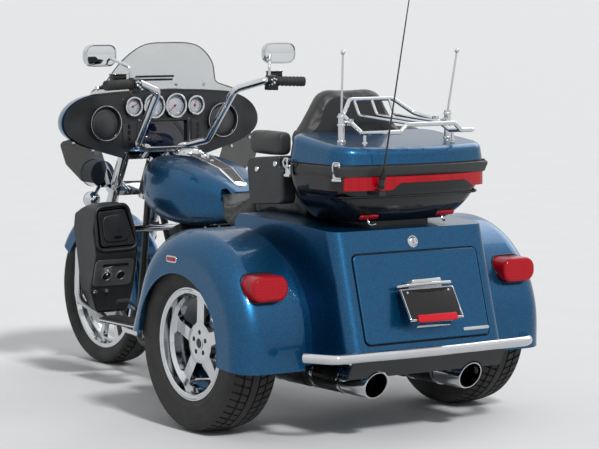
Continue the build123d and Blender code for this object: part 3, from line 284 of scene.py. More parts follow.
def box_outline(width, height, corner):
    """A rounded rectangle about its middle."""
    a, b = width / 2, height / 2
    return rounded([(-a, -b), (a, -b), (a, b), (-a, b)], corner)


def skin_of(piece):
    """A piece's faces as a tree that rays can be cast at."""
    mesh = piece.data
    return BVHTree.FromPolygons([v.co for v in mesh.vertices], [p.vertices for p in mesh.polygons])


def shape_of(node):
    """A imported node's faces as a tree that rays can be cast at."""
    return skin_of(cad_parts[node])


def struck(tree, start, direction):
    """The place where a ray meets a shape."""
    hit = tree.ray_cast(start, direction)[0]
    if hit is None:
        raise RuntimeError(f"a ray from {tuple(start)} meets nothing")
    return hit


def ready(piece, name, body, finish, angle=35):
    """Names a finished piece and gives it its finish, smooth shading and the body that it rides on."""
    piece.name = piece.data.name = name
    piece.data.materials.clear()
    piece.data.materials.append(bpy.data.materials[finish])
    choose(piece)
    bpy.ops.object.shade_smooth_by_angle(angle=radians(angle))
    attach(piece, body)


def pair(piece, name, body, finish):
    """A left-hand piece and its mirror image, made ready as one."""
    ready(copies(piece, (Matrix.Identity(4), MIRROR)), name, body, finish)


def handed(piece, name, body, finish):
    """A left-hand piece and its mirror image, each riding on the body of its own side."""
    twin = duplicate(piece, MIRROR)
    ready(piece, name + "_left", body + "_left", finish)
    ready(twin, name + "_right", body + "_right", finish)


def bar(start, end, radius, steps=14):
    """A straight round bar between two places."""
    run = end - start
    return turned(start, run.normalized(), [(radius, 0), (radius, run.length / MM)], steps)


def hexagon(centre, axis, radius, height):
    """A hexagon head with a chamfered top."""
    return turned(centre, axis, [(radius, 0), (radius, 0.8 * height), (0.84 * radius, height)], 6)


def domed(centre, axis, radius, height, steps=20):
    """A round button head."""
    return turned(centre, axis, [(radius, 0), (radius, 0.35 * height), (0.82 * radius, 0.8 * height),
                                 (0.4 * radius, height)], steps)


def hoop(centre, axis, radius, thick, height, steps=48):
    """A flat ring with rounded edges, standing on its centre."""
    outer, inner = radius + thick / 2, radius - thick / 2
    profile = [(inner, 0), (outer, 0), (outer, 0.7 * height), (outer - 0.25 * thick, height),
               (inner + 0.25 * thick, height), (inner, 0.7 * height), (inner, 0)]
    return turned(centre, axis, profile, steps, ring=True)


# Finishes


def node(tree, kind, links=None, **settings):
    """Adds a shader node; links maps input sockets to values or to other nodes' outputs."""
    made = tree.nodes.new(kind)
    for name, value in settings.items():
        setattr(made, name, value)
    for socket, value in (links or {}).items():
        if isinstance(value, bpy.types.NodeSocket):
            tree.links.new(value, made.inputs[socket])
        else:
            made.inputs[socket].default_value = value
    return made


def substance(name, colour, roughness, metallic=0.0, **sockets):
    """A new material with one colour and gloss. Returns its tree, its shader and the object coordinates."""
    material = bpy.data.materials.new(name)
    material.use_nodes = True
    tree = material.node_tree
    shader = tree.nodes["Principled BSDF"]
    values = {"Base Color": colour, "Roughness": roughness, "Metallic": metallic}
    values.update({key.replace("_", " "): value for key, value in sockets.items()})
    for socket, value in values.items():
        shader.inputs[socket].default_value = value
    coordinates = node(tree, "ShaderNodeTexCoord").outputs["Object"]
    return tree, shader, coordinates


def mottled(name, light, dark, roughness, cloud, grain, depth, metallic=0.0, **sockets):
    """A material whose colour and gloss drift over a cloud size and whose relief has a grain size, both in
    millimetres."""
    tree, shader, at = substance(name, light, roughness[0], metallic, **sockets)
    drift = node(tree, "ShaderNodeTexNoise", {"Vector": at, "Scale": 1 / (cloud * MM), "Detail": 4.0})
    mixed = node(tree, "ShaderNodeMix", {"Factor": drift.outputs["Fac"], "A": light, "B": dark},
                 data_type="RGBA")
    gloss = node(tree, "ShaderNodeMapRange", {"Value": drift.outputs["Fac"], "From Min": 0.3, "From Max": 0.7,
                                              "To Min": roughness[0], "To Max": roughness[1]})
    relief = node(tree, "ShaderNodeTexNoise", {"Vector": at, "Scale": 1 / (grain * MM), "Detail": 2.0})
    bump = node(tree, "ShaderNodeBump", {"Height": relief.outputs["Fac"], "Distance": depth * MM,
                                         "Strength": 1.0})
    tree.links.new(mixed.outputs["Result"], shader.inputs["Base Color"])
    tree.links.new(gloss.outputs["Result"], shader.inputs["Roughness"])
    tree.links.new(bump.outputs["Normal"], shader.inputs["Normal"])
    return tree, shader, at


class TrikeColours(bpy.types.PropertyGroup):
    """Colours of the trike's finishes."""

    paint: FloatVectorProperty(name="Paint", description="Base coat where it faces the light",
                               subtype="COLOR", size=4, min=0, max=1, default=hue("#035E89"))
    paint_deep: FloatVectorProperty(name="Deep paint", description="Base coat between the flakes",
                                    subtype="COLOR", size=4, min=0, max=1, default=hue("#043258"))
    bright: FloatVectorProperty(name="Bright metal", description="Chromium plate and polished aluminium",
                                subtype="COLOR", size=4, min=0, max=1, default=hue("#D5D7DA"))
    vinyl: FloatVectorProperty(name="Seat vinyl", description="Covers of the seats and pads", subtype="COLOR",
                               size=4, min=0, max=1, default=hue("#1B1B1C"))
    plastic: FloatVectorProperty(name="Moulded plastic", description="Dash, leg shields and pods",
                                 subtype="COLOR", size=4, min=0, max=1, default=hue("#1C1D1F"))
    rubber: FloatVectorProperty(name="Rubber", description="Tyres, grips and gaskets", subtype="COLOR",
                                size=4, min=0, max=1, default=hue("#1D1D1E"))
    lens: FloatVectorProperty(name="Red lens", description="Tail lamps and the lamp round the top case",
                              subtype="COLOR", size=4, min=0, max=1, default=hue("#C4071C"))
    floor: FloatVectorProperty(name="Floor", description="Pale floor of the stage", subtype="COLOR", size=4,
                               min=0, max=1, default=hue("#DCDDDD"))


class TrikeSizes(bpy.types.PropertyGroup):
    """Sizes of the trike's small pieces."""

    groove: FloatProperty(name="Tread depth", description="Depth of the tyres' grooves in millimetres",
                          default=7, min=1, max=10)
    tread_steps: IntProperty(name="Tread steps", description="Faces round a tyre, four to a tread block",
                             default=240, min=80, max=480)
    piping: FloatProperty(name="Piping", description="Radius of the seats' piping in millimetres",
                          default=3.2, min=1, max=8)
    flake: FloatProperty(name="Paint flake", description="Size of the paint's flakes in millimetres",
                         default=2.2, min=0.5, max=10)
    swelling: FloatProperty(name="Swelling", description="Air pressure that fills the cushions", default=4,
                            min=0, max=20)


def mix_paint(colours, sizes):
    """Metallic base coat under clear lacquer: flakes glint in it, and the lacquer's skin is slightly wavy."""
    tree, shader, at = substance("Metallic lacquer", colours.paint, 0.3, 0.8, Coat_Weight=0.45,
                                 Coat_Roughness=0.03)
    flakes = node(tree, "ShaderNodeTexVoronoi", {"Vector": at, "Scale": 1 / (sizes.flake * MM)})
    tone = node(tree, "ShaderNodeSeparateColor", {"Color": flakes.outputs["Color"]})
    share = node(tree, "ShaderNodeMapRange", {"Value": tone.outputs["Red"], "To Min": 0.15, "To Max": 0.85})
    mixed = node(tree, "ShaderNodeMix", {"Factor": share.outputs["Result"], "A": colours.paint[:],
                                         "B": colours.paint_deep[:]}, data_type="RGBA")
    gloss = node(tree, "ShaderNodeMapRange", {"Value": tone.outputs["Green"], "To Min": 0.26, "To Max": 0.4})
    waves = node(tree, "ShaderNodeTexNoise", {"Vector": at, "Scale": 70.0, "Detail": 1.0})
    skin = node(tree, "ShaderNodeBump", {"Height": waves.outputs["Fac"], "Distance": 0.00006,
                                         "Strength": 1.0})
    tree.links.new(mixed.outputs["Result"], shader.inputs["Base Color"])
    tree.links.new(gloss.outputs["Result"], shader.inputs["Roughness"])
    tree.links.new(skin.outputs["Normal"], shader.inputs["Coat Normal"])


def mix_red_lens(colours):
    """Clear red acrylic moulded with small prisms inside, which break up the light; that broken light is
    painted into the colour, which turns a darker red towards each prism's edge as painted shade.
    """
    tree, shader, at = substance("Red acrylic lens", colours.lens, 0.1, Specular_IOR_Level=0.28)
    prisms = node(tree, "ShaderNodeTexVoronoi", {"Vector": at, "Scale": 95.0, "Randomness": 0.0},
                  distance="CHEBYCHEV")
    share = node(tree, "ShaderNodeMapRange", {"Value": prisms.outputs["Distance"], "From Max": 0.7})
    # Painted shade: the red darkens towards each prism's edge, standing in for light that the prisms bend
    # away
    mixed = node(tree, "ShaderNodeMix", {"Factor": share.outputs["Result"], "A": colours.lens[:],
                                         "B": hue("#7A000F")}, data_type="RGBA")
    bump = node(tree, "ShaderNodeBump", {"Height": prisms.outputs["Distance"], "Distance": 0.0015,
                                         "Strength": 0.5})
    tree.links.new(mixed.outputs["Result"], shader.inputs["Base Color"])
    tree.links.new(bump.outputs["Normal"], shader.inputs["Normal"])


def mix_brushed(name, colour):
    """Ground steel: fine lines from the grinding, at a size coarse enough to show."""
    tree, shader, at = substance(name, colour, 0.3, 1.0, Anisotropic=0.4)
    stretched = node(tree, "ShaderNodeMapping", {"Vector": at, "Scale": (1.0, 1.0, 14.0)})
    lines = node(tree, "ShaderNodeTexNoise", {"Vector": stretched.outputs["Vector"], "Scale": 60.0,
                                              "Detail": 3.0})
    gloss = node(tree, "ShaderNodeMapRange", {"Value": lines.outputs["Fac"], "To Min": 0.2, "To Max": 0.42})
    bump = node(tree, "ShaderNodeBump", {"Height": lines.outputs["Fac"], "Distance": 0.0002, "Strength": 0.5})
    tree.links.new(gloss.outputs["Result"], shader.inputs["Roughness"])
    tree.links.new(bump.outputs["Normal"], shader.inputs["Normal"])


def mix_vinyl(colours):
    """Embossed vinyl on foam: a pebbled leather grain, slightly shinier where it is worn."""
    tree, shader, at = substance("Embossed vinyl", colours.vinyl, 0.5, Sheen_Weight=0.15,
                                 Sheen_Roughness=0.4)
    pebbles = node(tree, "ShaderNodeTexVoronoi", {"Vector": at, "Scale": 420.0}, feature="SMOOTH_F1")
    wear = node(tree, "ShaderNodeTexNoise", {"Vector": at, "Scale": 9.0, "Detail": 4.0})
    mixed = node(tree, "ShaderNodeMix", {"Factor": wear.outputs["Fac"], "A": colours.vinyl[:],
                                         "B": hue("#2A2A2B")}, data_type="RGBA")
    gloss = node(tree, "ShaderNodeMapRange", {"Value": wear.outputs["Fac"], "From Min": 0.3, "From Max": 0.7,
                                              "To Min": 0.4, "To Max": 0.56})
    bump = node(tree, "ShaderNodeBump", {"Height": pebbles.outputs["Distance"], "Distance": 0.0006,
                                         "Strength": 0.6})
    tree.links.new(mixed.outputs["Result"], shader.inputs["Base Color"])
    tree.links.new(gloss.outputs["Result"], shader.inputs["Roughness"])
    tree.links.new(bump.outputs["Normal"], shader.inputs["Normal"])


def mix_mesh_grille(colours):
    """Punched steel under black paint: rows of round holes that show as dark dots."""
    tree, shader, at = substance("Punched black grille", colours.plastic, 0.45)
    holes = node(tree, "ShaderNodeTexVoronoi", {"Vector": at, "Scale": 210.0, "Randomness": 0.0})
    edge = node(tree, "ShaderNodeMapRange", {"Value": holes.outputs["Distance"], "From Min": 0.28,
                                             "From Max": 0.36})
    mixed = node(tree, "ShaderNodeMix", {"Factor": edge.outputs["Result"], "A": hue("#050505"),
                                         "B": hue("#3A3B3D")}, data_type="RGBA")
    bump = node(tree, "ShaderNodeBump", {"Height": edge.outputs["Result"], "Distance": 0.001,
                                         "Strength": 0.7})
    tree.links.new(mixed.outputs["Result"], shader.inputs["Base Color"])
    tree.links.new(bump.outputs["Normal"], shader.inputs["Normal"])


def mix_finishes(colours, sizes):
    """Makes every material of the trike."""
    mix_paint(colours, sizes)
    mix_red_lens(colours)
    mix_vinyl(colours)
    mix_mesh_grille(colours)
    mix_brushed("Ground disc steel", hue("#A9A9A8"))
    mix_brushed("Spindle steel", hue("#8D8E90"))
    bright, dim = colours.bright[:], hue("#BFC1C5")
    # Chromium plate: a mirror with faint smudges
    mottled("Chromium plate", bright, dim, (0.03, 0.09), 60, 12, 0.01, 1.0)
    # Polished aluminium: a softer mirror than chrome, from the polishing wheel
    mottled("Polished aluminium", bright, dim, (0.07, 0.16), 45, 5, 0.015, 1.0)
    # Vulcanised rubber: dull, greyer where dust sits
    mottled("Vulcanised rubber", colours.rubber[:], hue("#2A2928"), (0.62, 0.85), 70, 1.6, 0.12)
    # Powder-coated steel: satin black with a slight orange peel
    mottled("Powder-coated steel", hue("#161617"), hue("#1E1E1F"), (0.3, 0.42), 50, 4, 0.05)
    # Sand-cast aluminium: pale grey, grainy skin
    mottled("Cast aluminium", hue("#8A8C8F"), hue("#6E7073"), (0.34, 0.5), 40, 2.2, 0.1, 0.9)
    # Black wrinkle paint over cast metal
    mottled("Wrinkle paint", hue("#17181A"), hue("#222325"), (0.45, 0.6), 30, 2.5, 0.25)
    # Moulded ABS: leather-like mould grain, even black
    mottled("Moulded ABS", colours.plastic[:], hue("#26272A"), (0.38, 0.52), 60, 1.8, 0.08)
    # Gloss black ABS: mirror-smooth moulding
    mottled("Gloss black ABS", hue("#0D0D0F"), hue("#141416"), (0.1, 0.18), 60, 30, 0.02,
            Specular_IOR_Level=0.4)
    # Blue-black lacquer with painted shade: base coat under clear, near a mirror; its near-black is the blue
    # paint painted as it looks in shade and in dark reflection
    mottled("Blue-black lacquer with painted shade", hue("#12151A"), hue("#0D0F13"), (0.08, 0.14), 90, 30, 0.01,
            Specular_IOR_Level=0.4)
    # Bright red lens: a moulded reflex reflector
    mottled("Bright red lens", hue("#D00A22"), hue("#AC0818"), (0.1, 0.18), 10, 3, 0.2,
            Specular_IOR_Level=0.3)
    # Heat-blackened steel: dark with a faint warm bloom
    mottled("Blackened steel", hue("#26282B"), hue("#34322F"), (0.18, 0.34), 55, 20, 0.02, 0.85)
    # Polycarbonate sheet: nearly clear, with a grey cast
    mottled("Clear polycarbonate", hue("#9DA4A8"), hue("#8F979B"), (0.03, 0.06), 200, 80, 0.01, Alpha=0.22,
            Coat_Weight=0.5)
    # Smoked polycarbonate: brown-black, half clear
    mottled("Smoked polycarbonate", hue("#1D1A18"), hue("#141312"), (0.04, 0.08), 200, 80, 0.01, Alpha=0.72,
            Coat_Weight=0.5)
    # Screen glass: black with a blue cast
    mottled("Screen glass", hue("#0E1026"), hue("#080A16"), (0.03, 0.07), 90, 60, 0.005, Coat_Weight=1.0)
    # Printed dial: silver-white with fine grain
    mottled("Silver dial", hue("#C9CDD2"), hue("#AEB3BA"), (0.35, 0.5), 20, 1.0, 0.02, 0.3)
    # Silvered mirror glass
    mottled("Mirror glass", hue("#E4E6E8"), hue("#DADDDF"), (0.01, 0.02), 90, 90, 0.002, 1.0)
    # Fibreglass rod: satin black
    mottled("Fibreglass rod", hue("#141415"), hue("#1C1C1E"), (0.3, 0.45), 30, 3, 0.03)
    # Red reflector: deep red plastic
    mottled("Red reflector", hue("#AE0C18"), hue("#8C0A14"), (0.1, 0.2), 8, 2.5, 0.3, Specular_IOR_Level=0.4)
    # Amber lens: orange acrylic
    mottled("Amber lens", hue("#E07A14"), hue("#C8640C"), (0.1, 0.2), 8, 3, 0.3, Coat_Weight=1.0)
    # Lamp glass over a bright reflector
    mottled("Lamp glass", hue("#DDE2E6"), hue("#B9C0C6"), (0.03, 0.1), 25, 9, 0.4, 0.6, Coat_Weight=1.0)


NODE_FINISHES = {
    "Metallic lacquer": "mudguards boot boot_door case_lid fuel_tank front_fender fairing_shell side_covers",
    # The top case's body: its blue paint given near-black, as painted shade and painted reflection
    "Blue-black lacquer with painted shade": "case_body",
    "Polished aluminium": "front_rim rear_rim_left rear_rim_right",
    "Ground disc steel": "front_discs",
    "Chromium plate": "fork handlebar bumper luggage_rack tank_console engine_guard light_bar headlamp "
                      "mirrors plate_holder air_cleaner",
    "Spindle steel": "front_axle",
    "Powder-coated steel": "frame rear_axle battery_box front_calipers",
    "Cast aluminium": "crankcase",
    "Wrinkle paint": "cylinders",
    "Moulded ABS": "fairing_dash leg_shields glovebox_door_left glovebox_door_right speaker_pods case_plinth "
                   "valance footboards",
    "Gloss black ABS": "hand_controls",
    "Vulcanised rubber": "grips front_tyre rear_tyre_left rear_tyre_right",
    "Embossed vinyl": "rider_seat pillion_seat backrest arm_pads",
    "Red acrylic lens": "tail_lamps case_lamp",
    "Clear polycarbonate": "windshield",
    "Smoked polycarbonate": "wind_deflectors",
    "Fibreglass rod": "whip_aerial",
    "Blackened steel": "exhausts",
}


class TRIKE_OT_finishes(bpy.types.Operator):
    """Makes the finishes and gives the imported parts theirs."""

    bl_idname = "trike.finishes"
    bl_label = "Finishes"

    def execute(self, context):
        mix_finishes(context.scene.trike_colours, context.scene.trike_sizes)
        for material, names in NODE_FINISHES.items():
            for name in names.split():
                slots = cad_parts[name].data.materials
                slots.clear()
                slots.append(bpy.data.materials[material])
        return {"FINISHED"}


# Half the tread's width, as a share of the tyre's width
HALF_TREAD = 0.43


def tyre_profile(radius, width, bead_r, bead_y, grooves, depth):
    """A tyre's section as (radius, distance across) pairs, from one bead over the tread to the other."""
    wall_y, tread_y = width / 2, HALF_TREAD * width
    tread_r = radius - 0.055 * width
    bulge = wall_y - (bead_y + tread_y) / 2
    half = [(bead_r + 1, bead_y - 9)]
    for share, rib in ((0.0, 0), (0.12, 0), (0.15, 1.5), (0.2, 1.5), (0.23, 0), (0.4, 0), (0.6, 0), (0.72, 0),
                       (0.75, 1.2), (0.86, 1.6), (0.94, 1.0), (1.0, 0)):
        half.append((bead_r + share * (tread_r - bead_r),
                     bead_y + share * (tread_y - bead_y) + bulge * 4 * share * (1 - share) + rib))
    crown = [(y, 0) for y in (0.93 * tread_y, 0.86 * tread_y)]
    for middle, groove_width in grooves:
        crown += [(middle + groove_width / 2, 0), (middle + groove_width / 2 - 1, depth),
                  (middle - groove_width / 2 + 1, depth), (middle - groove_width / 2, 0)]
    half += [(radius - (radius - tread_r) * (y / tread_y) ** 2 - drop, y) for y, drop in crown]
    return [(r, -y) for r, y in half] + [(r, y) for r, y in reversed(half)]


def tyre(centre, size, grooves, sizes):
    """A tyre turned from its section, with blocks cut into its tread and swept into chevrons."""
    radius, width, bead_r, bead_y = size
    steps = sizes.tread_steps
    profile = tyre_profile(radius, width, bead_r, bead_y, grooves, sizes.groove)
    inside = [(bead_r + 22, bead_y - 22), (bead_r + 22, 22 - bead_y)]
    piece = turned(centre, LEFT, profile + inside + profile[:1], steps, ring=True)
    first_groove = min(middle for middle, _ in grooves)
    choose(piece)
    bpy.ops.object.mode_set(mode="EDIT")
    bpy.ops.mesh.select_all(action="DESELECT")
    mesh = bmesh.from_edit_mesh(piece.data)
    for face in mesh.faces:
        spot = face.calc_center_median() - centre
        across, out = abs(spot.y) / MM, hypot(spot.x, spot.z) / MM
        index = int((atan2(spot.z, spot.x) % tau) / tau * steps)
        on_top = out > radius - 0.075 * width and abs(face.normal.y) < 0.8
        # Every fourth face is sunk, half a block apart on the two sides of the first groove
        sunk = 0 if across > first_groove else 2
        if on_top and index % 4 == sunk and across > 0.12 * width:
            face.select_set(True)
    bmesh.update_edit_mesh(piece.data)
    cut = -0.8 * sizes.groove * MM
    bpy.ops.mesh.extrude_region_shrink_fatten(TRANSFORM_OT_shrink_fatten={"value": cut})
    bpy.ops.object.mode_set(mode="OBJECT")
    sweep = 3.2 * tau / steps
    for vertex in piece.data.vertices:
        spot = vertex.co - centre
        share = min(abs(spot.y) / (HALF_TREAD * width * MM), 1.0)
        vertex.co = centre + Matrix.Rotation(sweep * share, 3, "Y") @ spot
    return tidy(piece)


class TRIKE_OT_tyres(bpy.types.Operator):
    """Turns the three tyres and cuts their treads."""

    bl_idname = "trike.tyres"
    bl_label = "Tyres"

    def execute(self, context):
        sizes = context.scene.trike_sizes
        wide = ((50, 8), (17, 7))
        rear = tyre(place(0, REAR_WHEEL_Y, REAR_TYRE[0]), REAR_TYRE, wide, sizes)
        right = duplicate(rear, MIRROR)
        front = tyre(FRONT_AXLE, FRONT_TYRE, ((26, 6),), sizes)
        for piece, name, body in ((rear, "rear_tyre_left", "rear_wheel_left"),
                                  (right, "rear_tyre_right", "rear_wheel_right"),
                                  (front, "front_tyre", "front_wheel")):
            ready(piece, name + "_tread", body, "Vulcanised rubber", angle=28)
            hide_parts(name)
        return {"FINISHED"}


def swell(piece, pressure, cap):
    """Fills a closed skin with air by a cloth simulation, and lets no point move further than the cap."""
    rest = [vertex.co.copy() for vertex in piece.data.vertices]
    choose(piece)
    cloth = piece.modifiers.new("Cloth", "CLOTH")
    cloth.settings.use_pressure = True
    cloth.settings.uniform_pressure_force = pressure
    cloth.settings.effector_weights.gravity = 0
    cloth.settings.quality = 4
    scene = bpy.context.scene
    for step in range(1, 21):
        scene.frame_set(step)
    bpy.ops.object.modifier_apply(modifier=cloth.name)
    scene.frame_set(1)
    for vertex, start in zip(piece.data.vertices, rest):
        move = vertex.co - start
        if move.length > cap * MM:
            vertex.co = start + move.normalized() * cap * MM


def cushion(node_name, name, sizes, voxel, shrink, cap, spare):
    """A padded piece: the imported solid's skin, drawn in and then filled. It keeps to the solid's box, apart
    from some spare millimetres that it may swell past it, and is flat where it rests on its foot."""
    piece = duplicate(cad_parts[node_name], Matrix.Identity(4))
    piece.parent = None
    for key in list(piece.keys()):
        del piece[key]
    piece.hide_render = piece.hide_viewport = False
    tidy(piece, 1e-5)
    softened(piece, "REMESH", mode="VOXEL", voxel_size=voxel * MM)
    softened(piece, "SMOOTH", factor=0.6, iterations=6)
    choose(piece)
    bpy.ops.object.mode_set(mode="EDIT")
    bpy.ops.mesh.select_all(action="SELECT")
    bpy.ops.transform.shrink_fatten(value=-shrink * MM)
    bpy.ops.object.mode_set(mode="OBJECT")
    swell(piece, sizes.swelling, cap)
    low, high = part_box(node_name)
    for vertex in piece.data.vertices:
        for axis in range(3):
            floor_at = low[axis] - (0 if axis == 2 else spare * MM)
            vertex.co[axis] = max(min(vertex.co[axis], high[axis] + spare * MM), floor_at)
    softened(piece, "SUBSURF", levels=1, render_levels=1)
    ready(tidy(piece), name, "chassis", "Embossed vinyl", angle=70)
    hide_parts(node_name)
    return piece


def seam(skin, points, direction, radius, loop=False):
    """Piping laid on a skin: the line of places is cast onto it along a direction."""
    laid = [hit for hit in (skin.ray_cast(point, direction)[0] for point in points) if hit is not None]
    return piped(laid, radius, loop)


class TRIKE_OT_seats(bpy.types.Operator):
    """Fills the seats, the backrest and the arm pads, and sews their piping."""

    bl_idname = "trike.seats"
    bl_label = "Seats"

    def execute(self, context):
        sizes = context.scene.trike_sizes
        piping = sizes.piping
        rider = cushion("rider_seat", "rider_seat_cover", sizes, 8, 7, 14, 4)
        pillion = cushion("pillion_seat", "pillion_seat_cover", sizes, 8, 6, 12, 4)
        back = cushion("backrest", "backrest_cover", sizes, 8, 7, 22, 6)
        cushion("arm_pads", "arm_pad_covers", sizes, 6, 3, 8, 3)
        lines = [[place(x, y, ABOVE) for y in range(-150, 151, 15)] for x in (392, 330)]
        lines += [[place(x, side * (92 + 60 * sin((x - 320) / 300 * pi)), ABOVE) for x in range(320, 632, 20)]
                  for side in (-1, 1)]
        skin = skin_of(rider)
        seams = [seam(skin, line, -UP, piping) for line in lines]
        ready(joined(*seams), "rider_seat_piping", "chassis", "Embossed vinyl")
        lines = [[place(x, side * 148, ABOVE) for x in range(-60, 285, 20)] for side in (-1, 1)]
        lines.append([place(226, y, ABOVE) for y in range(-148, 149, 15)])
        skin = skin_of(pillion)
        seams = [seam(skin, line, -UP, piping) for line in lines]
        ready(joined(*seams), "pillion_seat_piping", "chassis", "Embossed vinyl")
        skin = skin_of(back)
        dome = rounded([(-236, 905), (236, 905), (244, 1070), (126, 1246), (-126, 1246), (-244, 1070)], 84, 8)
        seams = [seam(skin, [place(start, y * 0.95, z - 4) for y, z in dome], direction, piping, loop=True)
                 for start, direction in ((300, BACK), (-400, AHEAD))]
        seams.append(seam(skin, [place(-400, 0, z) for z in range(905, 1240, 15)], AHEAD, piping * 0.6))
        ready(joined(*seams), "backrest_piping", "chassis", "Embossed vinyl")
        return {"FINISHED"}


CASE_SECTIONS = (
    # height, front x, rear x, bow of the rear, half width
    (776, -140, -400, 25, 225),
    (860, -122, -452, 42, 308),
    (982, -115, -478, 58, 341),
)


def case_line(z, outset, front=None):
    """The top case's plan at one height, drawn out by some millimetres: open ahead of a place, or closed."""
    low, high = CASE_SECTIONS[1:] if z > CASE_SECTIONS[1][0] else CASE_SECTIONS[:2]
    share = (z - low[0]) / (high[0] - low[0])
    case_front, rear, bow, half = (a + (b - a) * share for a, b in zip(low[1:], high[1:]))
    rear, half, case_front = rear - outset, half + outset, case_front + outset
    arc = [(rear - bow * (1 - (i / 6) ** 2), half * -i / 6) for i in range(-5, 6)]
    corners = [(case_front, half), (rear, half), *arc, (rear, -half), (case_front, -half)]
    line = rounded(corners, CASE_CORNER_R, 6)
    if front is not None:
        # In order from the left side round the rear to the right, about a place inside the case
        line = [(x, y) for x, y in line if x < front]
        line = sorted(line, key=lambda p: -atan2(p[1], -(p[0] + 300)))
        line = [(front, line[0][1]), *line, (front, line[-1][1])]
    return line


def case_strip(name, steps, front, thick, finish):
    """A strip round the top case's sides and rear, from (height, outset) pairs, open ahead of a place."""
    rows = [[place(x, y, z) for x, y in case_line(z, outset, front)] for z, outset in steps]
    ready(skin_through(rows, thick), name, "chassis", finish)


class TRIKE_OT_case(bpy.types.Operator):
    """Makes the top case's gasket, its band over the lamp and its ledge."""

    bl_idname = "trike.case"
    bl_label = "Top case bands"

    def execute(self, context):
        gasket = plate(case_line(982, -2.5), 5.4, place(0, 0, 982.3), AHEAD, LEFT)
        choose(gasket)
        bpy.ops.object.mode_set(mode="EDIT")
        bpy.ops.mesh.select_all(action="DESELECT")
        mesh = bmesh.from_edit_mesh(gasket.data)
        for face in mesh.faces:
            face.select_set(abs(face.normal.z) > 0.9)
        bmesh.update_edit_mesh(gasket.data)
        bpy.ops.mesh.delete(type="ONLY_FACE")
        bpy.ops.object.mode_set(mode="OBJECT")
        softened(gasket, "SOLIDIFY", thickness=4 * MM, offset=-1)
        ready(gasket, "case_gasket", "chassis", "Vulcanised rubber")
        band = ((944.5, 0.5), (946, 5), (972, 6), (979, 3.5), (981, 0.5))
        case_strip("case_band", band, -262, 2, "Moulded ABS")
        ledge = ((866, 0.4), (869, 3.2), (873, 3.2), (876, 0.4))
        case_strip("case_ledge", ledge, -250, 1, "Gloss black ABS")
        return {"FINISHED"}


class TRIKE_OT_wheels(bpy.types.Operator):
    """Fits the wheels' nuts, caps, valves and bolts."""

    bl_idname = "trike.wheels"
    bl_label = "Wheel fittings"

    def execute(self, context):
        hub = place(0, REAR_WHEEL_Y + 44, REAR_TYRE[0])
        nut = turned(moved(hub, UP, 40, LEFT, -14), LEFT, [(8.6, 0), (8.6, 12), (7, 15), (3, 16)], 6)
        handed(copies(nut, round_about(hub, LEFT, 5)), "rear_lug_nuts", "rear_wheel", "Blackened steel")
        handed(hoop(hub, LEFT, 20, 5, 4, 40), "rear_hub_ring", "rear_wheel", "Chromium plate")
        cap = turned(hub, LEFT, [(18, -1), (18, 2), (14, 4), (6, 3), (2, 3)], 40)
        handed(cap, "rear_hub_cap", "rear_wheel", "Gloss black ABS")
        lip = hoop(moved(hub, LEFT, 39.5), LEFT, 197, 8, 5, 96)
        handed(lip, "rear_rim_lip", "rear_wheel", "Polished aluminium")
        inwards = Vector((cos(radians(54)), 0, sin(radians(54))))
        stem = [(5, 0), (4, 18), (5, 20), (5, 30), (3, 31)]
        valve = turned(moved(hub, LEFT, 22, inwards, -186), inwards, stem, 12)
        handed(valve, "rear_valve", "rear_wheel", "Vulcanised rubber")
        nut = [(10, 0), (18, 0), (18, 8), (16, 11), (10, 11), (10, 0)]
        pair(turned(moved(FRONT_AXLE, LEFT, 149), LEFT, nut, 6, ring=True), "front_axle_nuts", "steering",
             "Chromium plate")
        bolt = domed(moved(FRONT_AXLE, LEFT, 52, UP, 54), LEFT, 6, 4, 14)
        bolts = copies(bolt, round_about(FRONT_AXLE, LEFT, 5))
        pair(bolts, "front_disc_bolts", "front_wheel", "Chromium plate")
        return {"FINISHED"}


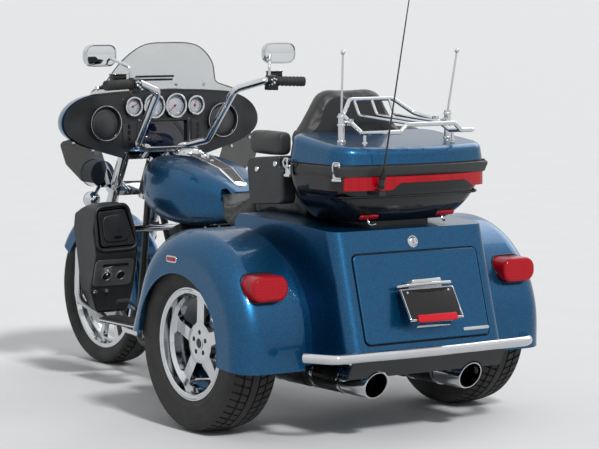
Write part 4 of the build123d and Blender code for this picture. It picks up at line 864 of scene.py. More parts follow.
class TRIKE_OT_lamps(bpy.types.Operator):
    """Makes the lamps' gaskets, bezels, glasses and masks, and the side markers; the tail lamps' black
    gaskets also stand for the painted shadow under their lenses.
    """

    bl_idname = "trike.lamps"
    bl_label = "Lamps"

    def execute(self, context):
        guard = shape_of("mudguards")
        # A black ring round each tail lamp's lens: a gasket, and also the painted shadow that falls under the
        # lens's edge
        ring = [struck(guard, place(BEHIND, 566 + a, 556 + b), AHEAD) for a, b in box_outline(158, 98, 46)]
        pair(piped(ring, 3.2, loop=True), "tail_lamp_gaskets_and_shadow", "chassis", "Gloss black ABS")
        spot = place(60, 694, 631)
        marker = slab(box_outline(58, 15, 7), 6, spot, -AHEAD, UP, 2)
        pair(marker, "side_markers", "chassis", "Red reflector")
        bezel = slab(box_outline(70, 25, 12), 3, spot, -AHEAD, UP, 1)
        pair(bezel, "side_marker_bezels", "chassis", "Chromium plate")
        spot = place(1554, 0, 1055)
        glass = turned(spot, AHEAD, [(80, 0), (78, 5), (60, 11), (32, 15), (4, 17)])
        ready(glass, "headlamp_glass", "steering", "Lamp glass")
        bezel = hoop(moved(spot, AHEAD, -4), AHEAD, 87, 15, 12, 64)
        ready(bezel, "headlamp_bezel", "steering", "Chromium plate")
        spot = place(1533, 170, 838)
        glass = turned(spot, AHEAD, [(48, 0), (46, 4), (30, 8), (4, 10)], 40)
        pair(glass, "passing_lamp_glasses", "steering", "Lamp glass")
        bezel = hoop(moved(spot, AHEAD, -3), AHEAD, 53, 10, 10)
        pair(bezel, "passing_lamp_bezels", "steering", "Chromium plate")
        spot = place(1392, 255, 738)
        lens = turned(spot, AHEAD, [(27.5, 20), (27, 26), (20, 33), (10, 37), (2, 38)], 32)
        pair(lens, "turn_signal_lenses", "steering", "Amber lens")
        bezel = hoop(moved(spot, AHEAD, 17), AHEAD, 29, 5, 5)
        pair(bezel, "turn_signal_bezels", "steering", "Chromium plate")
        self.mask_case_lamp()
        return {"FINISHED"}

    def mask_case_lamp(self):
        """Covers the foot and the two ends of the lamp round the top case."""
        lamp = shape_of("case_lamp")
        left_end, right_end, foot, height = 138, -246, 893, 25
        rows = [[], [], [], []]
        for step in range(25):
            y = left_end - step * (left_end - right_end) / 24
            rise = min(max((left_end - y) / 36, 0), max((y - right_end) / 46, 0), 1)
            top = foot + 3 + height * rise
            face = struck(lamp, place(BEHIND, y, 903), AHEAD)
            edge = ((9, foot), (-1.5, foot), (-2.5, 0.5 * (foot + top)), (-1.5, top))
            for row, (ahead, z) in zip(rows, edge):
                row.append(Vector((face.x + ahead * MM, y * MM, z * MM)))
        # The mask takes the case body's near-black lacquer, the blue paint with painted shade
        ready(skin_through(rows, 1.5), "case_lamp_mask", "chassis", "Blue-black lacquer with painted shade")
        start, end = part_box("case_lamp")[1].x - MM, place(-476, 0, 0).x
        columns = [start + (end - start) * i / 14 for i in range(15)]
        ends = []
        for side in (1, -1):
            rows = [[struck(lamp, Vector((x, side * 0.6, z * MM)), LEFT * -side) for x in columns]
                    for z in (897, 920, 943)]
            ends.append(skin_through(rows, 3, 0))
        # The ends take the same near-black lacquer, the blue paint with painted shade
        ready(joined(*ends), "case_lamp_ends", "chassis", "Blue-black lacquer with painted shade")


class TRIKE_OT_latches(bpy.types.Operator):
    """Makes the top case's latches, hinges, reflectors and hooks."""

    bl_idname = "trike.latches"
    bl_label = "Case fittings"

    def execute(self, context):
        base = slab(box_outline(30, 44, 6), 9, UP * -24 * MM, -AHEAD, UP, 2)
        half_loop = ((-11, 6, -20), (-12, 17, -8), (-12, 20, 8), (-10, 15, 20))
        whole_loop = (*half_loop, *((-x, y, z) for x, y, z in reversed(half_loop)))
        loop = piped([Vector(point) * MM for point in whole_loop], 3.2, straight=True)
        roller = bar(Vector((-17, 8, -42)) * MM, Vector((17, 8, -42)) * MM, 6)
        tongue = slab(box_outline(20, 14, 4), 15, UP * 13 * MM, -AHEAD, UP, 2)
        moves = [Matrix.Translation(place(-186, 345, 978)),
                 Matrix.Translation(place(-456, 327, 976)) @ Matrix.Rotation(radians(42), 4, "Z")]
        latches = copies(joined(base, loop, roller, tongue), moves)
        ready(latches, "case_latches", "chassis", "Chromium plate")
        hinges = [bar(place(x, -348, 985), place(x - 60, -348, 985), 5) for x in (-190, -330)]
        ready(joined(*hinges), "case_hinges", "chassis", "Chromium plate")
        slope = Vector((-69, 0, 84)).normalized()
        spot = struck(shape_of("case_body"), place(BEHIND, 172, 797), AHEAD)
        reflector = slab(box_outline(82, 20, 8), 6, spot, RIGHT, slope, 2)
        pair(reflector, "case_reflectors", "chassis", "Red reflector")
        hook = ((-424, 168, 786), (-428, 168, 772), (-438, 166, 766), (-452, 160, 767), (-458, 156, 772))
        pair(piped([place(*point) for point in hook], 2.6), "case_hooks", "chassis", "Chromium plate")
        return {"FINISHED"}


class TRIKE_OT_boot(bpy.types.Operator):
    """Fits the boot's gasket, lock, bright strip, blank plate with its hood, and reflector."""

    bl_idname = "trike.boot"
    bl_label = "Boot trim"

    def execute(self, context):
        ring = [boot_place(a, 218 + b, -7) for a, b in box_outline(564, 330, 22)]
        ready(piped(ring, 3, loop=True, straight=True), "boot_gasket", "chassis", "Vulcanised rubber")
        spot = boot_place(0, 417, -1)
        lock = joined(domed(spot, BOOT_OUT, 17, 7, 32), hoop(spot, BOOT_OUT, 20, 5, 4),
                      slab(box_outline(5, 22, 2), 9, moved(spot, BOOT_OUT, 4), RIGHT, BOOT_UP, 1))
        ready(lock, "boot_lock", "chassis", "Chromium plate")
        badge = slab(box_outline(118, 12, 5), 3.5, boot_place(-218, 82, 5.5), RIGHT, BOOT_UP, 1)
        ready(badge, "boot_badge_blank", "boot_door", "Chromium plate")
        slope = (BOOT_UP * 123 - BOOT_OUT * 36).normalized()
        out = RIGHT.cross(slope)
        foot = boot_place(0, 118, 71)
        blank = slab(box_outline(236, 122, 7), 2.5, moved(foot, slope, 64), RIGHT, slope, 0.8)
        ready(blank, "plate_blank", "boot_door", "Gloss black ABS")
        edge = [moved(foot, slope, 64 + b, RIGHT, a, out, 2.5) for a, b in box_outline(233, 119, 6)]
        trim = [domed(moved(foot, slope, 112, RIGHT, side * 92, out, 2), out, 5, 3, 14) for side in (-1, 1)]
        trim.append(piped(edge, 1.6, loop=True, straight=True))
        ready(joined(*trim), "plate_trim", "boot_door", "Chromium plate")
        reflector = slab(box_outline(176, 28, 5), 9, moved(foot, slope, 6), RIGHT, slope, 2.5, 3)
        ready(reflector, "plate_reflector", "boot_door", "Bright red lens")
        wings = rounded([(-138, 8), (-96, 40), (0, 52), (96, 40), (138, 8), (84, -6), (-84, -6)], 12)
        housing = rounded([(-76, -8), (76, -8), (64, 34), (-64, 34)], 8)
        hood = joined(slab(wings, 11, boot_place(0, 246, 20), LEFT, BOOT_OUT, 4, 3),
                      slab(housing, 18, boot_place(0, 255, 14), LEFT, BOOT_OUT, 6, 3))
        ready(hood, "plate_hood", "boot_door", "Chromium plate")
        return {"FINISHED"}


class TRIKE_OT_guards(bpy.types.Operator):
    """Rolls the mudguards' arch edges and fits their chromed feet."""

    bl_idname = "trike.guards"
    bl_label = "Mudguard trim"

    def execute(self, context):
        arch = [place(30 + 269 * cos(radians(a)), 693, 315 + 269 * sin(radians(a))) for a in range(2, 189, 6)]
        pair(piped(arch, 3.4), "arch_beads", "chassis", "Metallic lacquer")
        outline = rounded([(304, 322), (408, 327), (404, 346), (303, 338)], 5)
        foot = slab(outline, 3, place(0, 696.5, 0), AHEAD, UP, 1)
        pair(foot, "guard_feet", "chassis", "Chromium plate")
        return {"FINISHED"}


class TRIKE_OT_dash(bpy.types.Operator):
    """Makes the gauges, speakers, screen and switches of the dash."""

    bl_idname = "trike.dash"
    bl_label = "Dash"

    # Gauges: distance to the left, radius, turn of the needle
    gauges = ((151, 34, 60), (53, 45, -125), (-53, 45, -130), (-151, 34, 20))
    gauge_height = 1128

    def execute(self, context):
        self.fit_gauges()
        self.fit_speakers()
        screen = slab(box_outline(206, 104, 6), 5, place(DASH_X, 0, 1012), RIGHT, UP, 1)
        ready(screen, "screen_glass", "steering", "Screen glass")
        strip = rounded([(-5, -70), (5, -66), (8, 62), (-2, 66)], 3)
        pair(slab(strip, 5, place(DASH_X + 0.5, 122, 1010), RIGHT, UP, 1.2), "screen_strips", "steering",
             "Polished aluminium")
        outline = rounded([(-136, -60), (-196, -50), (-202, 46), (-134, 56)], 8)
        panel = slab(outline, 4, place(DASH_X, 0, 1012), RIGHT, UP, 1.5)
        pair(panel, "dash_side_panels", "steering", "Moulded ABS")
        key = slab(box_outline(12, 18, 2), 3, place(DASH_X - 4, 168, 1046), RIGHT, UP, 0.8)
        keys = copies(key, [Matrix.Translation(UP * -24 * i * MM) for i in range(4)])
        pair(keys, "dash_keys", "steering", "Gloss black ABS")
        tray = rounded([(-172, -6), (-50, -13), (50, -13), (172, -6), (150, 9), (-150, 9)], 5)
        ready(slab(tray, 10, place(DASH_X + 0.5, 0, 950), RIGHT, UP, 1.5), "switch_tray", "steering",
              "Polished aluminium")
        rocker = slab(box_outline(15, 12, 2), 5, place(DASH_X - 9, 0, 950), RIGHT, UP, 1)
        rockers = copies(rocker, [Matrix.Translation(LEFT * 24 * i * MM) for i in range(-3, 4)])
        ready(rockers, "rocker_switches", "steering", "Gloss black ABS")
        half_brow = ((-330, 1178), (-250, 1185), (-150, 1190))
        brow = (*half_brow, (0, 1194), *((-y, z) for y, z in reversed(half_brow)))
        ready(piped([place(1240, y, z) for y, z in brow], 5), "dash_brow", "steering", "Vulcanised rubber")
        return {"FINISHED"}

    def fit_gauges(self):
        """Makes the four dials with their bezels, marks and needles."""
        dials, marks, bezels, needles = [], [], [], []
        for y, radius, reading in self.gauges:
            middle = place(DASH_X - 0.5, y, self.gauge_height)
            face = radius - 0.6
            dials.append(turned(middle, BACK, [(face, -1), (face, 3), (radius - 3, 4)], 40))
            bezels.append(hoop(moved(middle, BACK, 15), BACK, radius + 3, 8, 5))
            mark = [(-0.8, radius - 11), (0.8, radius - 11), (0.8, radius - 5), (-0.8, radius - 5)]
            tick = plate(mark, 0.8, moved(middle, BACK, 3.8), RIGHT, UP)
            marks.append(copies(tick, round_about(middle, AHEAD, 13, radians(290), radians(-134))))
            pointer = [(-1.6, -8), (1.6, -8), (0.6, radius - 9), (-0.6, radius - 9)]
            needle = plate(pointer, 1.2, moved(middle, BACK, 6), RIGHT, UP)
            needle.data.transform(round_about(middle, AHEAD, 1, tau, radians(reading))[0])
            needles += [needle, domed(moved(middle, BACK, 3.5), BACK, 5, 5, 16)]
        ready(joined(*dials), "dials", "steering", "Silver dial")
        ready(joined(*bezels), "gauge_bezels", "steering", "Chromium plate")
        ready(joined(*marks), "dial_marks", "steering", "Gloss black ABS")
        ready(joined(*needles), "needles", "steering", "Red reflector")

    def fit_speakers(self):
        """Makes the two speakers' grilles and rings."""
        speaker = place(1236, 285, 1063)
        cone = turned(speaker, BACK, [(63, -1), (63, 3), (52, 8), (30, 11), (6, 12)])
        pair(cone, "speaker_grilles", "steering", "Punched black grille")
        ring = hoop(moved(speaker, BACK, 14), BACK, 67, 7, 4, 64)
        pair(ring, "speaker_rings", "steering", "Gloss black ABS")
        rim = hoop(moved(speaker, BACK, 17), BACK, 71, 2.4, 2, 64)
        pair(rim, "speaker_rims", "steering", "Polished aluminium")


def bar_point(share):
    """A place along the left grip, the handlebar's last straight."""
    return place(930 - 30 * share, 300 + 170 * share, 1235 - 5 * share)


class TRIKE_OT_controls(bpy.types.Operator):
    """Fits the mirrors' glasses, grip ribs, switches, reservoirs, lever blades and the bar's clamp."""

    bl_idname = "trike.controls"
    bl_label = "Bar fittings"

    # Buttons of the switches: share along the grip, height, radius
    buttons = ((0.1, 4, 6), (0.16, -7, 7), (0.21, 6, 5), (0.1, -14, 5), (0.16, 9, 5))

    def execute(self, context):
        normal = Vector((-1, -0.1, 0)).normalized()
        across = UP.cross(normal)
        face = place(1012, 430, 1346)
        glass = slab(box_outline(136, 74, 31), 2, face, across, UP, 0.6)
        pair(glass, "mirror_glasses", "steering", "Mirror glass")
        edge = [moved(face, across, a, UP, b, normal, 1) for a, b in box_outline(144, 82, 35)]
        pair(piped(edge, 3, loop=True), "mirror_rims", "steering", "Chromium plate")
        run = (bar_point(1) - bar_point(0)).normalized()
        rib = [(18.6, -4), (20.8, -2), (20.8, 2), (18.6, 4)]
        ribs = [turned(bar_point(share), run, rib, 24, ring=True)
                for share in (0.36, 0.46, 0.56, 0.66, 0.76, 0.86, 0.95)]
        pair(joined(*ribs), "grip_ribs", "steering", "Vulcanised rubber")
        block = slab(box_outline(34, 46, 6), 22, moved(bar_point(0.16), UP, -38, AHEAD, -4), AHEAD, run, 3)
        pair(block, "switch_blocks", "steering", "Gloss black ABS")
        caps = [domed(moved(bar_point(share), BACK, 21, UP, height), BACK, size, 9, 14)
                for share, height, size in self.buttons]
        pair(joined(*caps), "switch_caps", "steering", "Polished aluminium")
        foot = place(972, 376, 1244)
        tank = joined(slab(box_outline(38, 62, 8), 24, foot, AHEAD, LEFT, 3),
                      slab(box_outline(42, 66, 9), 5, moved(foot, UP, 24), AHEAD, LEFT, 1.5))
        pair(tank, "brake_reservoirs", "steering", "Gloss black ABS")
        screws = [domed(moved(foot, AHEAD, a, LEFT, b, UP, 29), UP, 3, 2, 10)
                  for a in (-14, 14) for b in (-24, 24)]
        pair(joined(*screws), "reservoir_screws", "steering", "Chromium plate")
        outline = rounded([(0, -8), (60, -9), (132, -6), (132, 6), (60, 7), (0, 8)], 3)
        pivot = place(985, 346, 1220)
        blade = slab(outline, 8, pivot, LEFT, UP, 2.5)
        blade.data.transform(round_about(pivot, UP, 1, tau, radians(6))[0])
        tip = turned(place(972, 470, 1218), UP, [(1, -9), (6, -7), (9, 0), (6, 7), (1, 9)], 20)
        pair(joined(blade, tip), "lever_blades", "steering", "Chromium plate")
        clamp = slab(box_outline(30, 46, 8), 128, place(1262, -64, 962), AHEAD, -UP, 4)
        ready(clamp, "bar_clamp", "steering", "Chromium plate")
        return {"FINISHED"}


class TRIKE_OT_screen(bpy.types.Operator):
    """Edges the windshield, and fits its screws, vent and the deflectors' clips."""

    bl_idname = "trike.screen"
    bl_label = "Windshield trim"

    # The screen's edge from its lower left corner to the middle of its top: distance to the left, height
    left_edge = ((346, 1196), (310, 1207), (272, 1221), (262, 1238), (248, 1266), (230, 1302), (208, 1336),
                 (182, 1359), (150, 1376), (112, 1386), (60, 1390))

    def execute(self, context):
        sheet = shape_of("windshield")
        edge = []
        for y, z in (*self.left_edge, (0, 1390), *((-y, z) for y, z in reversed(self.left_edge))):
            # A ray at the very edge can pass the sheet by, and is cast again a little further in
            for drop in (0, 2, 4, 7):
                hit = sheet.ray_cast(place(INSIDE, y * (1 - drop / 400), z - drop), AHEAD)[0]
                if hit is not None:
                    edge.append(hit)
                    break
        ready(piped(edge, 2.2), "screen_edge", "steering", "Smoked polycarbonate")
        screws = [domed(struck(sheet, place(INSIDE, 115 * i, 1214), AHEAD), BACK, 8, 5) for i in range(-2, 3)]
        ready(joined(*screws), "screen_screws", "steering", "Chromium plate")
        vent = [slab(box_outline(190, 9, 4), 3, struck(sheet, place(INSIDE, 0, z), AHEAD), RIGHT, UP, 1)
                for z in (1234, 1248)]
        ready(joined(*vent), "screen_vent", "steering", "Gloss black ABS")
        clips = [domed(place(1241.5, y, z), BACK, 8, 6) for y, z in ((338, 950), (430, 984))]
        pair(joined(*clips), "deflector_clips", "steering", "Chromium plate")
        return {"FINISHED"}


def cylinder_frame(lean, along):
    """A place on a cylinder's axis above the crankshaft, with the directions up it and across it."""
    up = Vector((sin(radians(lean)), 0, cos(radians(lean))))
    return moved(place(CRANK_X, 0, 330), up, along), up, LEFT.cross(up)


class TRIKE_OT_engine(bpy.types.Operator):
    """Fits the engine's covers, bolts, pushrod tubes, plug caps, horn cover, fins and oil filter."""

    bl_idname = "trike.engine"
    bl_label = "Engine fittings"

    def execute(self, context):
        bright, dark = [], []
        for lean in (-22.5, 22.5):
            top, up, ahead = cylinder_frame(lean, 336)
            bright += [hexagon(moved(top, LEFT, a, ahead, b), up, 6, 6)
                       for a in (-66, 0, 66) for b in (-38, 38)]
            plug = moved(cylinder_frame(lean, 278)[0], LEFT, 72)
            cap = [(12, 0), (12, 6), (8, 8), (8, 26), (10, 28), (10, 40), (6, 44)]
            dark.append(turned(plug, LEFT, cap, 16))
            bright += self.pushrod_tubes(lean)
        cover = rounded([(574, 252), (898, 236), (988, 262), (996, 392), (896, 424), (574, 398)], 34, 4)
        bright += [domed(place(x, 167, z), LEFT, 6, 5, 12) for x, z in cover[::3]]
        for x, z, radius in ((642, 325, 62), (902, 330, 70)):
            middle = place(x, 167, z)
            bright.append(turned(middle, LEFT, [(radius, 0), (radius, 5), (radius - 6, 9), (20, 11)], 48))
            bolt = domed(moved(middle, LEFT, 9, UP, radius - 12), LEFT, 5, 4, 12)
            bright.append(copies(bolt, round_about(middle, LEFT, 5)))
        middle = place(CRANK_X, -131, 370)
        bright.append(turned(middle, RIGHT, [(82, 0), (80, 5), (58, 9), (20, 11)], 48))
        bolt = domed(moved(middle, RIGHT, 3, UP, 70), RIGHT, 5, 5, 12)
        bright.append(copies(bolt, round_about(middle, LEFT, 5)))
        ready(joined(*bright), "engine_brightwork", "chassis", "Chromium plate")
        ready(joined(*dark), "spark_plug_caps", "chassis", "Vulcanised rubber")
        insert = [(66, 0), (66, 3), (60, 5), (16, 6), (16, 9), (8, 10)]
        cleaner = turned(place(CRANK_X, -187, 560), RIGHT, insert, 48)
        ready(cleaner, "air_cleaner_insert", "chassis", "Gloss black ABS")
        down = Vector((0.85, 0, -0.2)).normalized()
        can = turned(place(1040, 0, 262), down, [(36, 0), (38, 5), (38, 66), (30, 74), (8, 75)], 36)
        ready(can, "oil_filter", "chassis", "Gloss black ABS")
        horn = turned(place(CRANK_X, 96, 560), LEFT, [(40, 0), (46, 4), (46, 14), (34, 20), (8, 22)], 36)
        ready(horn, "horn_cover", "chassis", "Chromium plate")
        fins = [plate(box_outline(118, 3, 1), 44, place(CRANK_X, -98, z), AHEAD, UP)
                for z in (214, 226, 238, 250)]
        ready(joined(*fins), "sump_fins", "chassis", "Cast aluminium")
        return {"FINISHED"}

    def pushrod_tubes(self, lean):
        """One cylinder's two tubes, each with a collar at its foot."""
        head, _, ahead = cylinder_frame(lean, 262)
        tubes = []
        for shift in (-24, 24):
            foot = place(CRANK_X + (36 if lean > 0 else -36) + shift * 0.6, -84, 424)
            end = moved(head, RIGHT, 84, ahead, shift)
            tubes.append(bar(foot, end, 9))
            tubes.append(turned(foot, (end - foot).normalized(), [(13, 0), (13, 12), (10, 16)], 20))
        return tubes


class TRIKE_OT_exhaust(bpy.types.Operator):
    """Sleeves the silencers' slash-cut tips in chrome and fits their bands, clamps, hangers and shields."""

    bl_idname = "trike.exhaust"
    bl_label = "Exhaust fittings"

    def execute(self, context):
        sleeve = [(47.5, 384), (50.8, 384), (51.2, 402), (51.2, 536), (49.6, 541), (46, 541), (44.6, 534),
                  (44.4, 470), (47.5, 470), (47.5, 384)]
        tip = turned(SILENCER, BACK, sleeve, 64, ring=True)
        for vertex in tip.data.vertices:
            if vertex.co.x < place(-510, 0, 0).x:
                vertex.co.x -= 0.4 * (vertex.co.z - SILENCER.z)
        pair(tip, "exhaust_tips", "chassis", "Chromium plate")
        bands = [hoop(moved(SILENCER, AHEAD, x), BACK, 52.5, 3.4, 14, 56) for x in (-366, -200, 40)]
        bands += [hoop(moved(SILENCER, AHEAD, x), BACK, 24, 5, 16, 32) for x in (134, 170)]
        pair(joined(*bands), "silencer_bands", "chassis", "Chromium plate")
        strap = rounded([(-9, -2), (9, -2), (13, 104), (-13, 104)], 4)
        pair(slab(strap, 5, place(-520, 258, 206), RIGHT, UP, 1.2), "exhaust_hangers", "chassis",
             "Powder-coated steel")
        shield = turned(SILENCER, BACK, [(53.4, 10), (54, 14), (54, 150), (53.4, 154)], 56, ring=True)
        pair(shield, "heat_shields", "chassis", "Blackened steel")
        return {"FINISHED"}


def leg_point(along):
    """A place on the left fork leg's axis, at a distance along it in millimetres."""
    return place(1819.85 - 0.454 * along, 116, 0.891 * along + 25.4)


class TRIKE_OT_front(bpy.types.Operator):
    """Fits the fork's boots and reflectors, the calipers' and pinch bolts, and beads the front fender."""

    bl_idname = "trike.front"
    bl_label = "Front end fittings"

    def execute(self, context):
        boot = turned(leg_point(655), FORK_UP, [(31, -4), (33.5, 2), (31, 9), (27, 17), (25, 22)], 36)
        pair(boot, "fork_boots", "steering", "Vulcanised rubber")
        reflector = domed(moved(leg_point(590), LEFT, 28), LEFT, 17, 7, 28)
        pair(reflector, "fork_reflectors", "steering", "Amber lens")
        bolts = []
        for turn in (130, 146, 162):
            out = Vector((cos(radians(turn)), 0, sin(radians(turn))))
            bolts.append(hexagon(moved(FRONT_AXLE, out, 150, LEFT, 85), LEFT, 7, 7))
        pair(joined(*bolts), "caliper_bolts", "steering", "Chromium plate")
        pinch = hexagon(moved(leg_point(300), LEFT, 29), LEFT, 8, 7)
        pair(pinch, "pinch_bolts", "steering", "Chromium plate")
        arc = [moved(FRONT_AXLE, AHEAD, 262 * cos(radians(a)), LEFT, 82, UP, 262 * sin(radians(a)))
               for a in range(34, 189, 6)]
        pair(piped(arc, 3), "fender_beads", "steering", "Metallic lacquer")
        return {"FINISHED"}


class TRIKE_OT_feet(bpy.types.Operator):
    """Lays the footboards' rubber pads and fits the shift lever and the brake pedal."""

    bl_idname = "trike.feet"
    bl_label = "Foot controls"

    # Footboards, rider's and passenger's: distance ahead, height, length, width
    boards = ((1000, 278, 300, 110), (560, 346, 230, 90))
    # Places along the two levers: distance ahead, distance to the left, height
    shift_rod = ((870, 250, 326), (930, 252, 322), (1004, 254, 306), (1070, 254, 326), (1104, 256, 342))
    pedal_arm = ((930, -258, 300), (1000, -262, 308), (1060, -268, 330), (1092, -276, 352))

    def execute(self, context):
        pads, edges = [], []
        for x, z, length, width in self.boards:
            middle = place(x, 320, z)
            mat = box_outline(length - 22, width - 22, 22)
            pads.append(slab(mat, 5, moved(middle, UP, -0.5), AHEAD, LEFT, 1.5))
            count = int(length / 30)
            for i in range(count):
                spot = moved(middle, AHEAD, (i - (count - 1) / 2) * 27, UP, 4)
                pads.append(slab(box_outline(12, width - 34, 4), 4, spot, AHEAD, LEFT, 1.2, 1))
            rim = box_outline(length + 1, width + 1, 30)
            edge = [moved(middle, AHEAD, a, LEFT, b, UP, -8) for a, b in rim]
            edges.append(piped(edge, 4, loop=True, straight=True))
        pair(joined(*pads), "footboard_pads", "chassis", "Vulcanised rubber")
        pair(joined(*edges), "footboard_edges", "chassis", "Chromium plate")
        levers = [bar(place(1004, 166, 306), place(1004, 256, 306), 10),
                  piped([place(*point) for point in self.shift_rod], 7),
                  bar(place(930, -166, 300), place(930, -262, 300), 10),
                  piped([place(*point) for point in self.pedal_arm], 8)]
        ready(joined(*levers), "foot_levers", "chassis", "Chromium plate")
        rubbers = [bar(place(1104, 254, 342), place(1104, 308, 342), 11),
                   bar(place(870, 248, 326), place(870, 300, 326), 11),
                   slab(box_outline(56, 44, 8), 9, place(1088, -288, 356), AHEAD, LEFT, 2)]
        ready(joined(*rubbers), "pedal_rubbers", "chassis", "Vulcanised rubber")
        return {"FINISHED"}


class TRIKE_OT_tank(bpy.types.Operator):
    """Lays the console's black insert and fits the tank's cap, knobs and bright rims."""

    bl_idname = "trike.tank"
    bl_label = "Tank fittings"

    def execute(self, context):
        console = shape_of("tank_console")

        def on_console(x, share):
            """A place on the console's top, at a share of its half width there."""
            return struck(console, place(x, share * (24 + 0.058 * (x - 660)), ABOVE), -UP)

        rows = [[moved(on_console(x, share), UP, 1.2) for share in (-0.8, -0.4, 0, 0.4, 0.8)]
                for x in range(672, 1112, 20)]
        ready(skin_through(rows, 1.5), "console_insert", "chassis", "Moulded ABS")
        spot = place(1042, 0, 938)
        caps = [turned(spot, UP, [(60, 0), (60, 7), (54, 16), (38, 24), (16, 28), (3, 29)], 56),
                hoop(moved(spot, UP, 2), UP, 63, 6, 6, 56),
                turned(place(922, 0, 926), UP, [(20, 0), (20, 12), (17, 17), (5, 19)], 28),
                domed(place(868, 0, 916), UP, 9, 9),
                turned(place(1112, 0, 938), UP, [(19, 0), (19, 16), (15, 20), (4, 21)], 18)]
        ready(joined(*caps), "tank_caps", "chassis", "Chromium plate")
        rims = [piped([on_console(x, side * 0.92) for x in range(668, 1112, 24)], 2.6) for side in (-1, 1)]
        ready(joined(*rims), "console_rims", "chassis", "Chromium plate")
        return {"FINISHED"}


class TRIKE_OT_shields(bpy.types.Operator):
    """Beads the leg shields, pads their doors, and fits the vents, knobs and pod fittings."""

    bl_idname = "trike.shields"
    bl_label = "Leg shield trim"

    # Outlines as distance to the left and height
    door = ((404, 698), (304, 706), (262, 596), (390, 592))
    rim = ((434, 735), (282, 745), (226, 562), (418, 558))
    shield = ((290, 742), (422, 730), (434, 640), (420, 540), (402, 387), (352, 294), (212, 294), (206, 390),
              (232, 545), (262, 660))

    def execute(self, context):
        door = [(-y, z) for y, z in reversed(rounded(self.door, 34))]
        pad = slab(door, 8, place(1064.5, 0, 0), RIGHT, UP, 6, 4)
        handed(pad, "glovebox_pad", "glovebox", "Moulded ABS")
        pull = slab(box_outline(38, 12, 5), 6, place(1060.5, 330, 612), RIGHT, UP, 2)
        handed(pull, "glovebox_pull", "glovebox", "Gloss black ABS")
        bead = []
        # The shield's face is upright, and below 540 mm it runs forwards in two slopes
        for y, z in rounded(self.shield, 30, 6):
            if z > 540:
                x = 1070
            elif z > 400:
                x = 1070 + 0.543 * (540 - z)
            else:
                x = 1146 + 0.407 * (400 - z)
            bead.append(place(x + (8 if z > 722 else 3), y, min(z, 733)))
        pair(piped(bead, 4.5, loop=True), "leg_shield_beads", "chassis", "Gloss black ABS")
        rim = [place(1065, y, z) for y, z in rounded(self.rim, 40, 6)]
        pair(piped(rim, 7, loop=True), "glovebox_rims", "chassis", "Moulded ABS")
        self.fit_vents()
        knobs = [domed(place(1152, y, 384), BACK, 9, 10) for y in (384, 330)]
        pair(joined(*knobs), "vent_knobs", "chassis", "Chromium plate")
        studs = [domed(place(x, 335.5, z), LEFT, 11, 8) for x, z in ((36, 946), (-84, 972))]
        pair(joined(*studs), "pod_studs", "chassis", "Chromium plate")
        return {"FINISHED"}

    def fit_vents(self):
        """Lays the vent panels on the leg shields' slope, with two round openings and a slot each."""
        slope = Vector((-76, 0, 140)).normalized()
        out = RIGHT.cross(slope)
        middle = place(1108, 0, 468)
        outline = rounded([(-404, -68), (-420, 60), (-240, 60), (-224, -68)], 22)
        panel = slab(outline, 5, middle, RIGHT, slope, 2)
        spots = [moved(middle, slope, -18, LEFT, y, out, 4) for y in (286, 352)]
        rings = [hoop(spot, out, 21, 5, 5, 32) for spot in spots]
        pair(joined(panel, *rings), "leg_shield_vents", "chassis", "Cast aluminium")
        holes = [turned(spot, out, [(19, 0), (19, 2), (8, 3)], 32) for spot in spots]
        slot = slab(box_outline(120, 12, 5), 3, moved(middle, slope, 34, LEFT, 322, out, 4), RIGHT, slope, 1)
        pair(joined(*holes, slot), "vent_holes", "chassis", "Gloss black ABS")


class TRIKE_OT_rack(bpy.types.Operator):
    """Fits the rack's feet, mast rings and the whip's ferrule and bead."""

    bl_idname = "trike.rack"
    bl_label = "Rack fittings"

    def execute(self, context):
        fittings = [hoop(place(-361, 241, z), UP, 13, 5, 7, 24) for z in (1062, 1120, 1150)]
        fittings.append(hexagon(place(-445, 199, 1058), UP, 11, 7))
        pair(joined(*fittings), "rack_fittings", "case_lid", "Chromium plate")
        lean = Vector((-sin(radians(13.3)), 0, cos(radians(13.3))))
        foot = place(-545, 200, 905)
        socket = [(12.5, 2), (12.5, 12), (10, 16), (10, 34), (12, 36), (12, 44), (6, 56), (4.2, 74)]
        ready(turned(foot, lean, socket, 24), "whip_ferrule", "chassis", "Blackened steel")
        bead = turned(moved(foot, lean, 852), lean, [(2.4, 0), (3, 3), (3, 6), (1.6, 8)], 12)
        ready(bead, "whip_bead", "chassis", "Fibreglass rod")
        return {"FINISHED"}


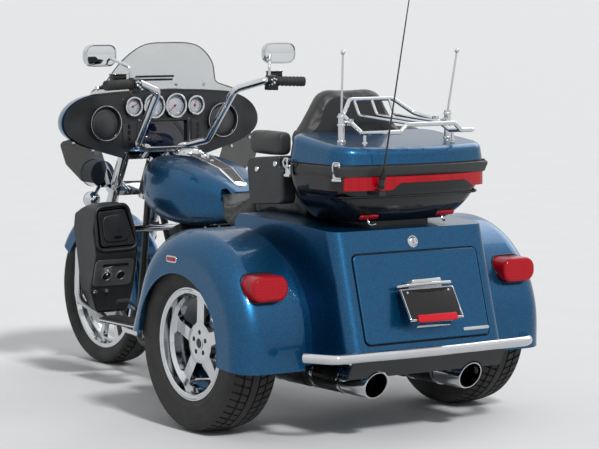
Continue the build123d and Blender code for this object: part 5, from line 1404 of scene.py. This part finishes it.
class TRIKE_OT_stage(bpy.types.Operator):
    """Lays the floor, hangs the lights and sets the camera."""

    bl_idname = "trike.stage"
    bl_label = "Stage"

    # The camera's place in metres, its yaw, pitch and roll in degrees, its lens and sensor in millimetres
    camera_at = (-8.19785, 5.4427, 1.5798)
    camera_turn = (-34.8325, -5.2304, 0.094)
    camera_lens, sensor_width = 149.5, 36
    # The floor's width and how far the camera sees, in metres
    floor_width, sight = 4400, 5000
    sky_strength = 0.52
    # Suns: name, energy, angle across, turn about each axis
    suns = (("Key", 2.3, 8, (48, 0, -100)), ("Fill", 0.7, 40, (55, 0, 20)))

    def execute(self, context):
        scene = context.scene
        scene.view_settings.view_transform = "Standard"
        floor = scene.trike_colours.floor
        tree, shader, at = substance("Painted floor", floor, 0.9)
        grit = node(tree, "ShaderNodeTexNoise", {"Vector": at, "Scale": 3.0, "Detail": 5.0})
        mixed = node(tree, "ShaderNodeMix", {"Factor": grit.outputs["Fac"], "A": floor[:],
                                             "B": hue("#D6D7D7")}, data_type="RGBA")
        tree.links.new(mixed.outputs["Result"], shader.inputs["Base Color"])
        ground = primitive("plane", size=self.floor_width)
        ground.name = "stage_floor"
        ground.data.materials.append(bpy.data.materials["Painted floor"])
        scene.world = self.make_sky(floor[:])
        for name, energy, angle, turn in self.suns:
            deselect()
            bpy.ops.object.light_add(type="SUN", rotation=[radians(a) for a in turn])
            lamp = context.active_object
            lamp.name = f"{name} light"
            lamp.data.energy, lamp.data.angle = energy, radians(angle)
        deselect()
        bpy.ops.object.camera_add(location=self.camera_at)
        camera = context.active_object
        yaw, pitch, roll = (radians(a) for a in self.camera_turn)
        turn = (Matrix.Rotation(yaw - pi / 2, 4, "Z") @ Matrix.Rotation(pi / 2 + pitch, 4, "X")
                @ Matrix.Rotation(roll, 4, "Z"))
        camera.rotation_euler = turn.to_euler()
        camera.data.sensor_width = self.sensor_width
        camera.data.lens = self.camera_lens
        camera.data.clip_end = self.sight
        scene.camera = camera
        return {"FINISHED"}

    def make_sky(self, floor):
        """A soft sky that lights the trike, shown as a pale backdrop to the camera, metal and glass."""
        world = bpy.data.worlds.new("Soft sky")
        world.use_nodes = True
        sky = world.node_tree
        ray = node(sky, "ShaderNodeTexCoord")
        height = node(sky, "ShaderNodeSeparateXYZ", {"Vector": ray.outputs["Generated"]})
        share = node(sky, "ShaderNodeMapRange", {"Value": height.outputs["Z"], "From Max": 0.6})
        lit = node(sky, "ShaderNodeMix", {"Factor": share.outputs["Result"], "A": hue("#C9CDD2"),
                                          "B": hue("#F4F6F8")}, data_type="RGBA")
        shown = node(sky, "ShaderNodeMix", {"Factor": share.outputs["Result"], "A": floor,
                                            "B": hue("#FFFFFF")}, data_type="RGBA")
        background = sky.nodes["Background"]
        sky.links.new(lit.outputs["Result"], background.inputs["Color"])
        background.inputs["Strength"].default_value = self.sky_strength
        seen = node(sky, "ShaderNodeBackground", {"Color": shown.outputs["Result"], "Strength": 1.0})
        rays = node(sky, "ShaderNodeLightPath").outputs
        direct = node(sky, "ShaderNodeMath", {0: rays["Is Camera Ray"], 1: rays["Is Glossy Ray"]},
                      operation="MAXIMUM")
        any_view = node(sky, "ShaderNodeMath", {0: direct.outputs["Value"], 1: rays["Is Transmission Ray"]},
                        operation="MAXIMUM")
        chosen = node(sky, "ShaderNodeMixShader", {"Fac": any_view.outputs["Value"],
                                                   1: background.outputs["Background"],
                                                   2: seen.outputs["Background"]})
        sky.links.new(chosen.outputs["Shader"], sky.nodes["World Output"].inputs["Surface"])
        return world


OPERATORS = (TRIKE_OT_finishes, TRIKE_OT_tyres, TRIKE_OT_seats, TRIKE_OT_case, TRIKE_OT_wheels,
             TRIKE_OT_lamps, TRIKE_OT_latches, TRIKE_OT_boot, TRIKE_OT_guards, TRIKE_OT_dash,
             TRIKE_OT_controls, TRIKE_OT_screen, TRIKE_OT_engine, TRIKE_OT_exhaust, TRIKE_OT_front,
             TRIKE_OT_feet, TRIKE_OT_tank, TRIKE_OT_shields, TRIKE_OT_rack, TRIKE_OT_stage)


class TRIKE_PT_panel(bpy.types.Panel):
    """Lists the trike's sizes, colours and pieces."""

    bl_label = "Touring trike"
    bl_idname = "TRIKE_PT_panel"
    bl_space_type = "VIEW_3D"
    bl_region_type = "UI"
    bl_category = "Trike"

    def draw(self, context):
        for group in (context.scene.trike_sizes, context.scene.trike_colours):
            for name in group.__annotations__:
                self.layout.prop(group, name)
        for operator in OPERATORS:
            self.layout.operator(operator.bl_idname)


CLASSES = (TrikeColours, TrikeSizes, *OPERATORS, TRIKE_PT_panel)


def register():
    """Adds the trike's classes and settings to Blender."""
    for made in CLASSES:
        bpy.utils.register_class(made)
    bpy.types.Scene.trike_colours = PointerProperty(type=TrikeColours)
    bpy.types.Scene.trike_sizes = PointerProperty(type=TrikeSizes)


def unregister():
    """Takes them away again."""
    del bpy.types.Scene.trike_sizes
    del bpy.types.Scene.trike_colours
    for made in reversed(CLASSES):
        bpy.utils.unregister_class(made)


def main():
    """Builds everything in order."""
    register()
    for operator in OPERATORS:
        group, name = operator.bl_idname.split(".")
        getattr(getattr(bpy.ops, group), name)()


if __name__ == "__main__":
    main()
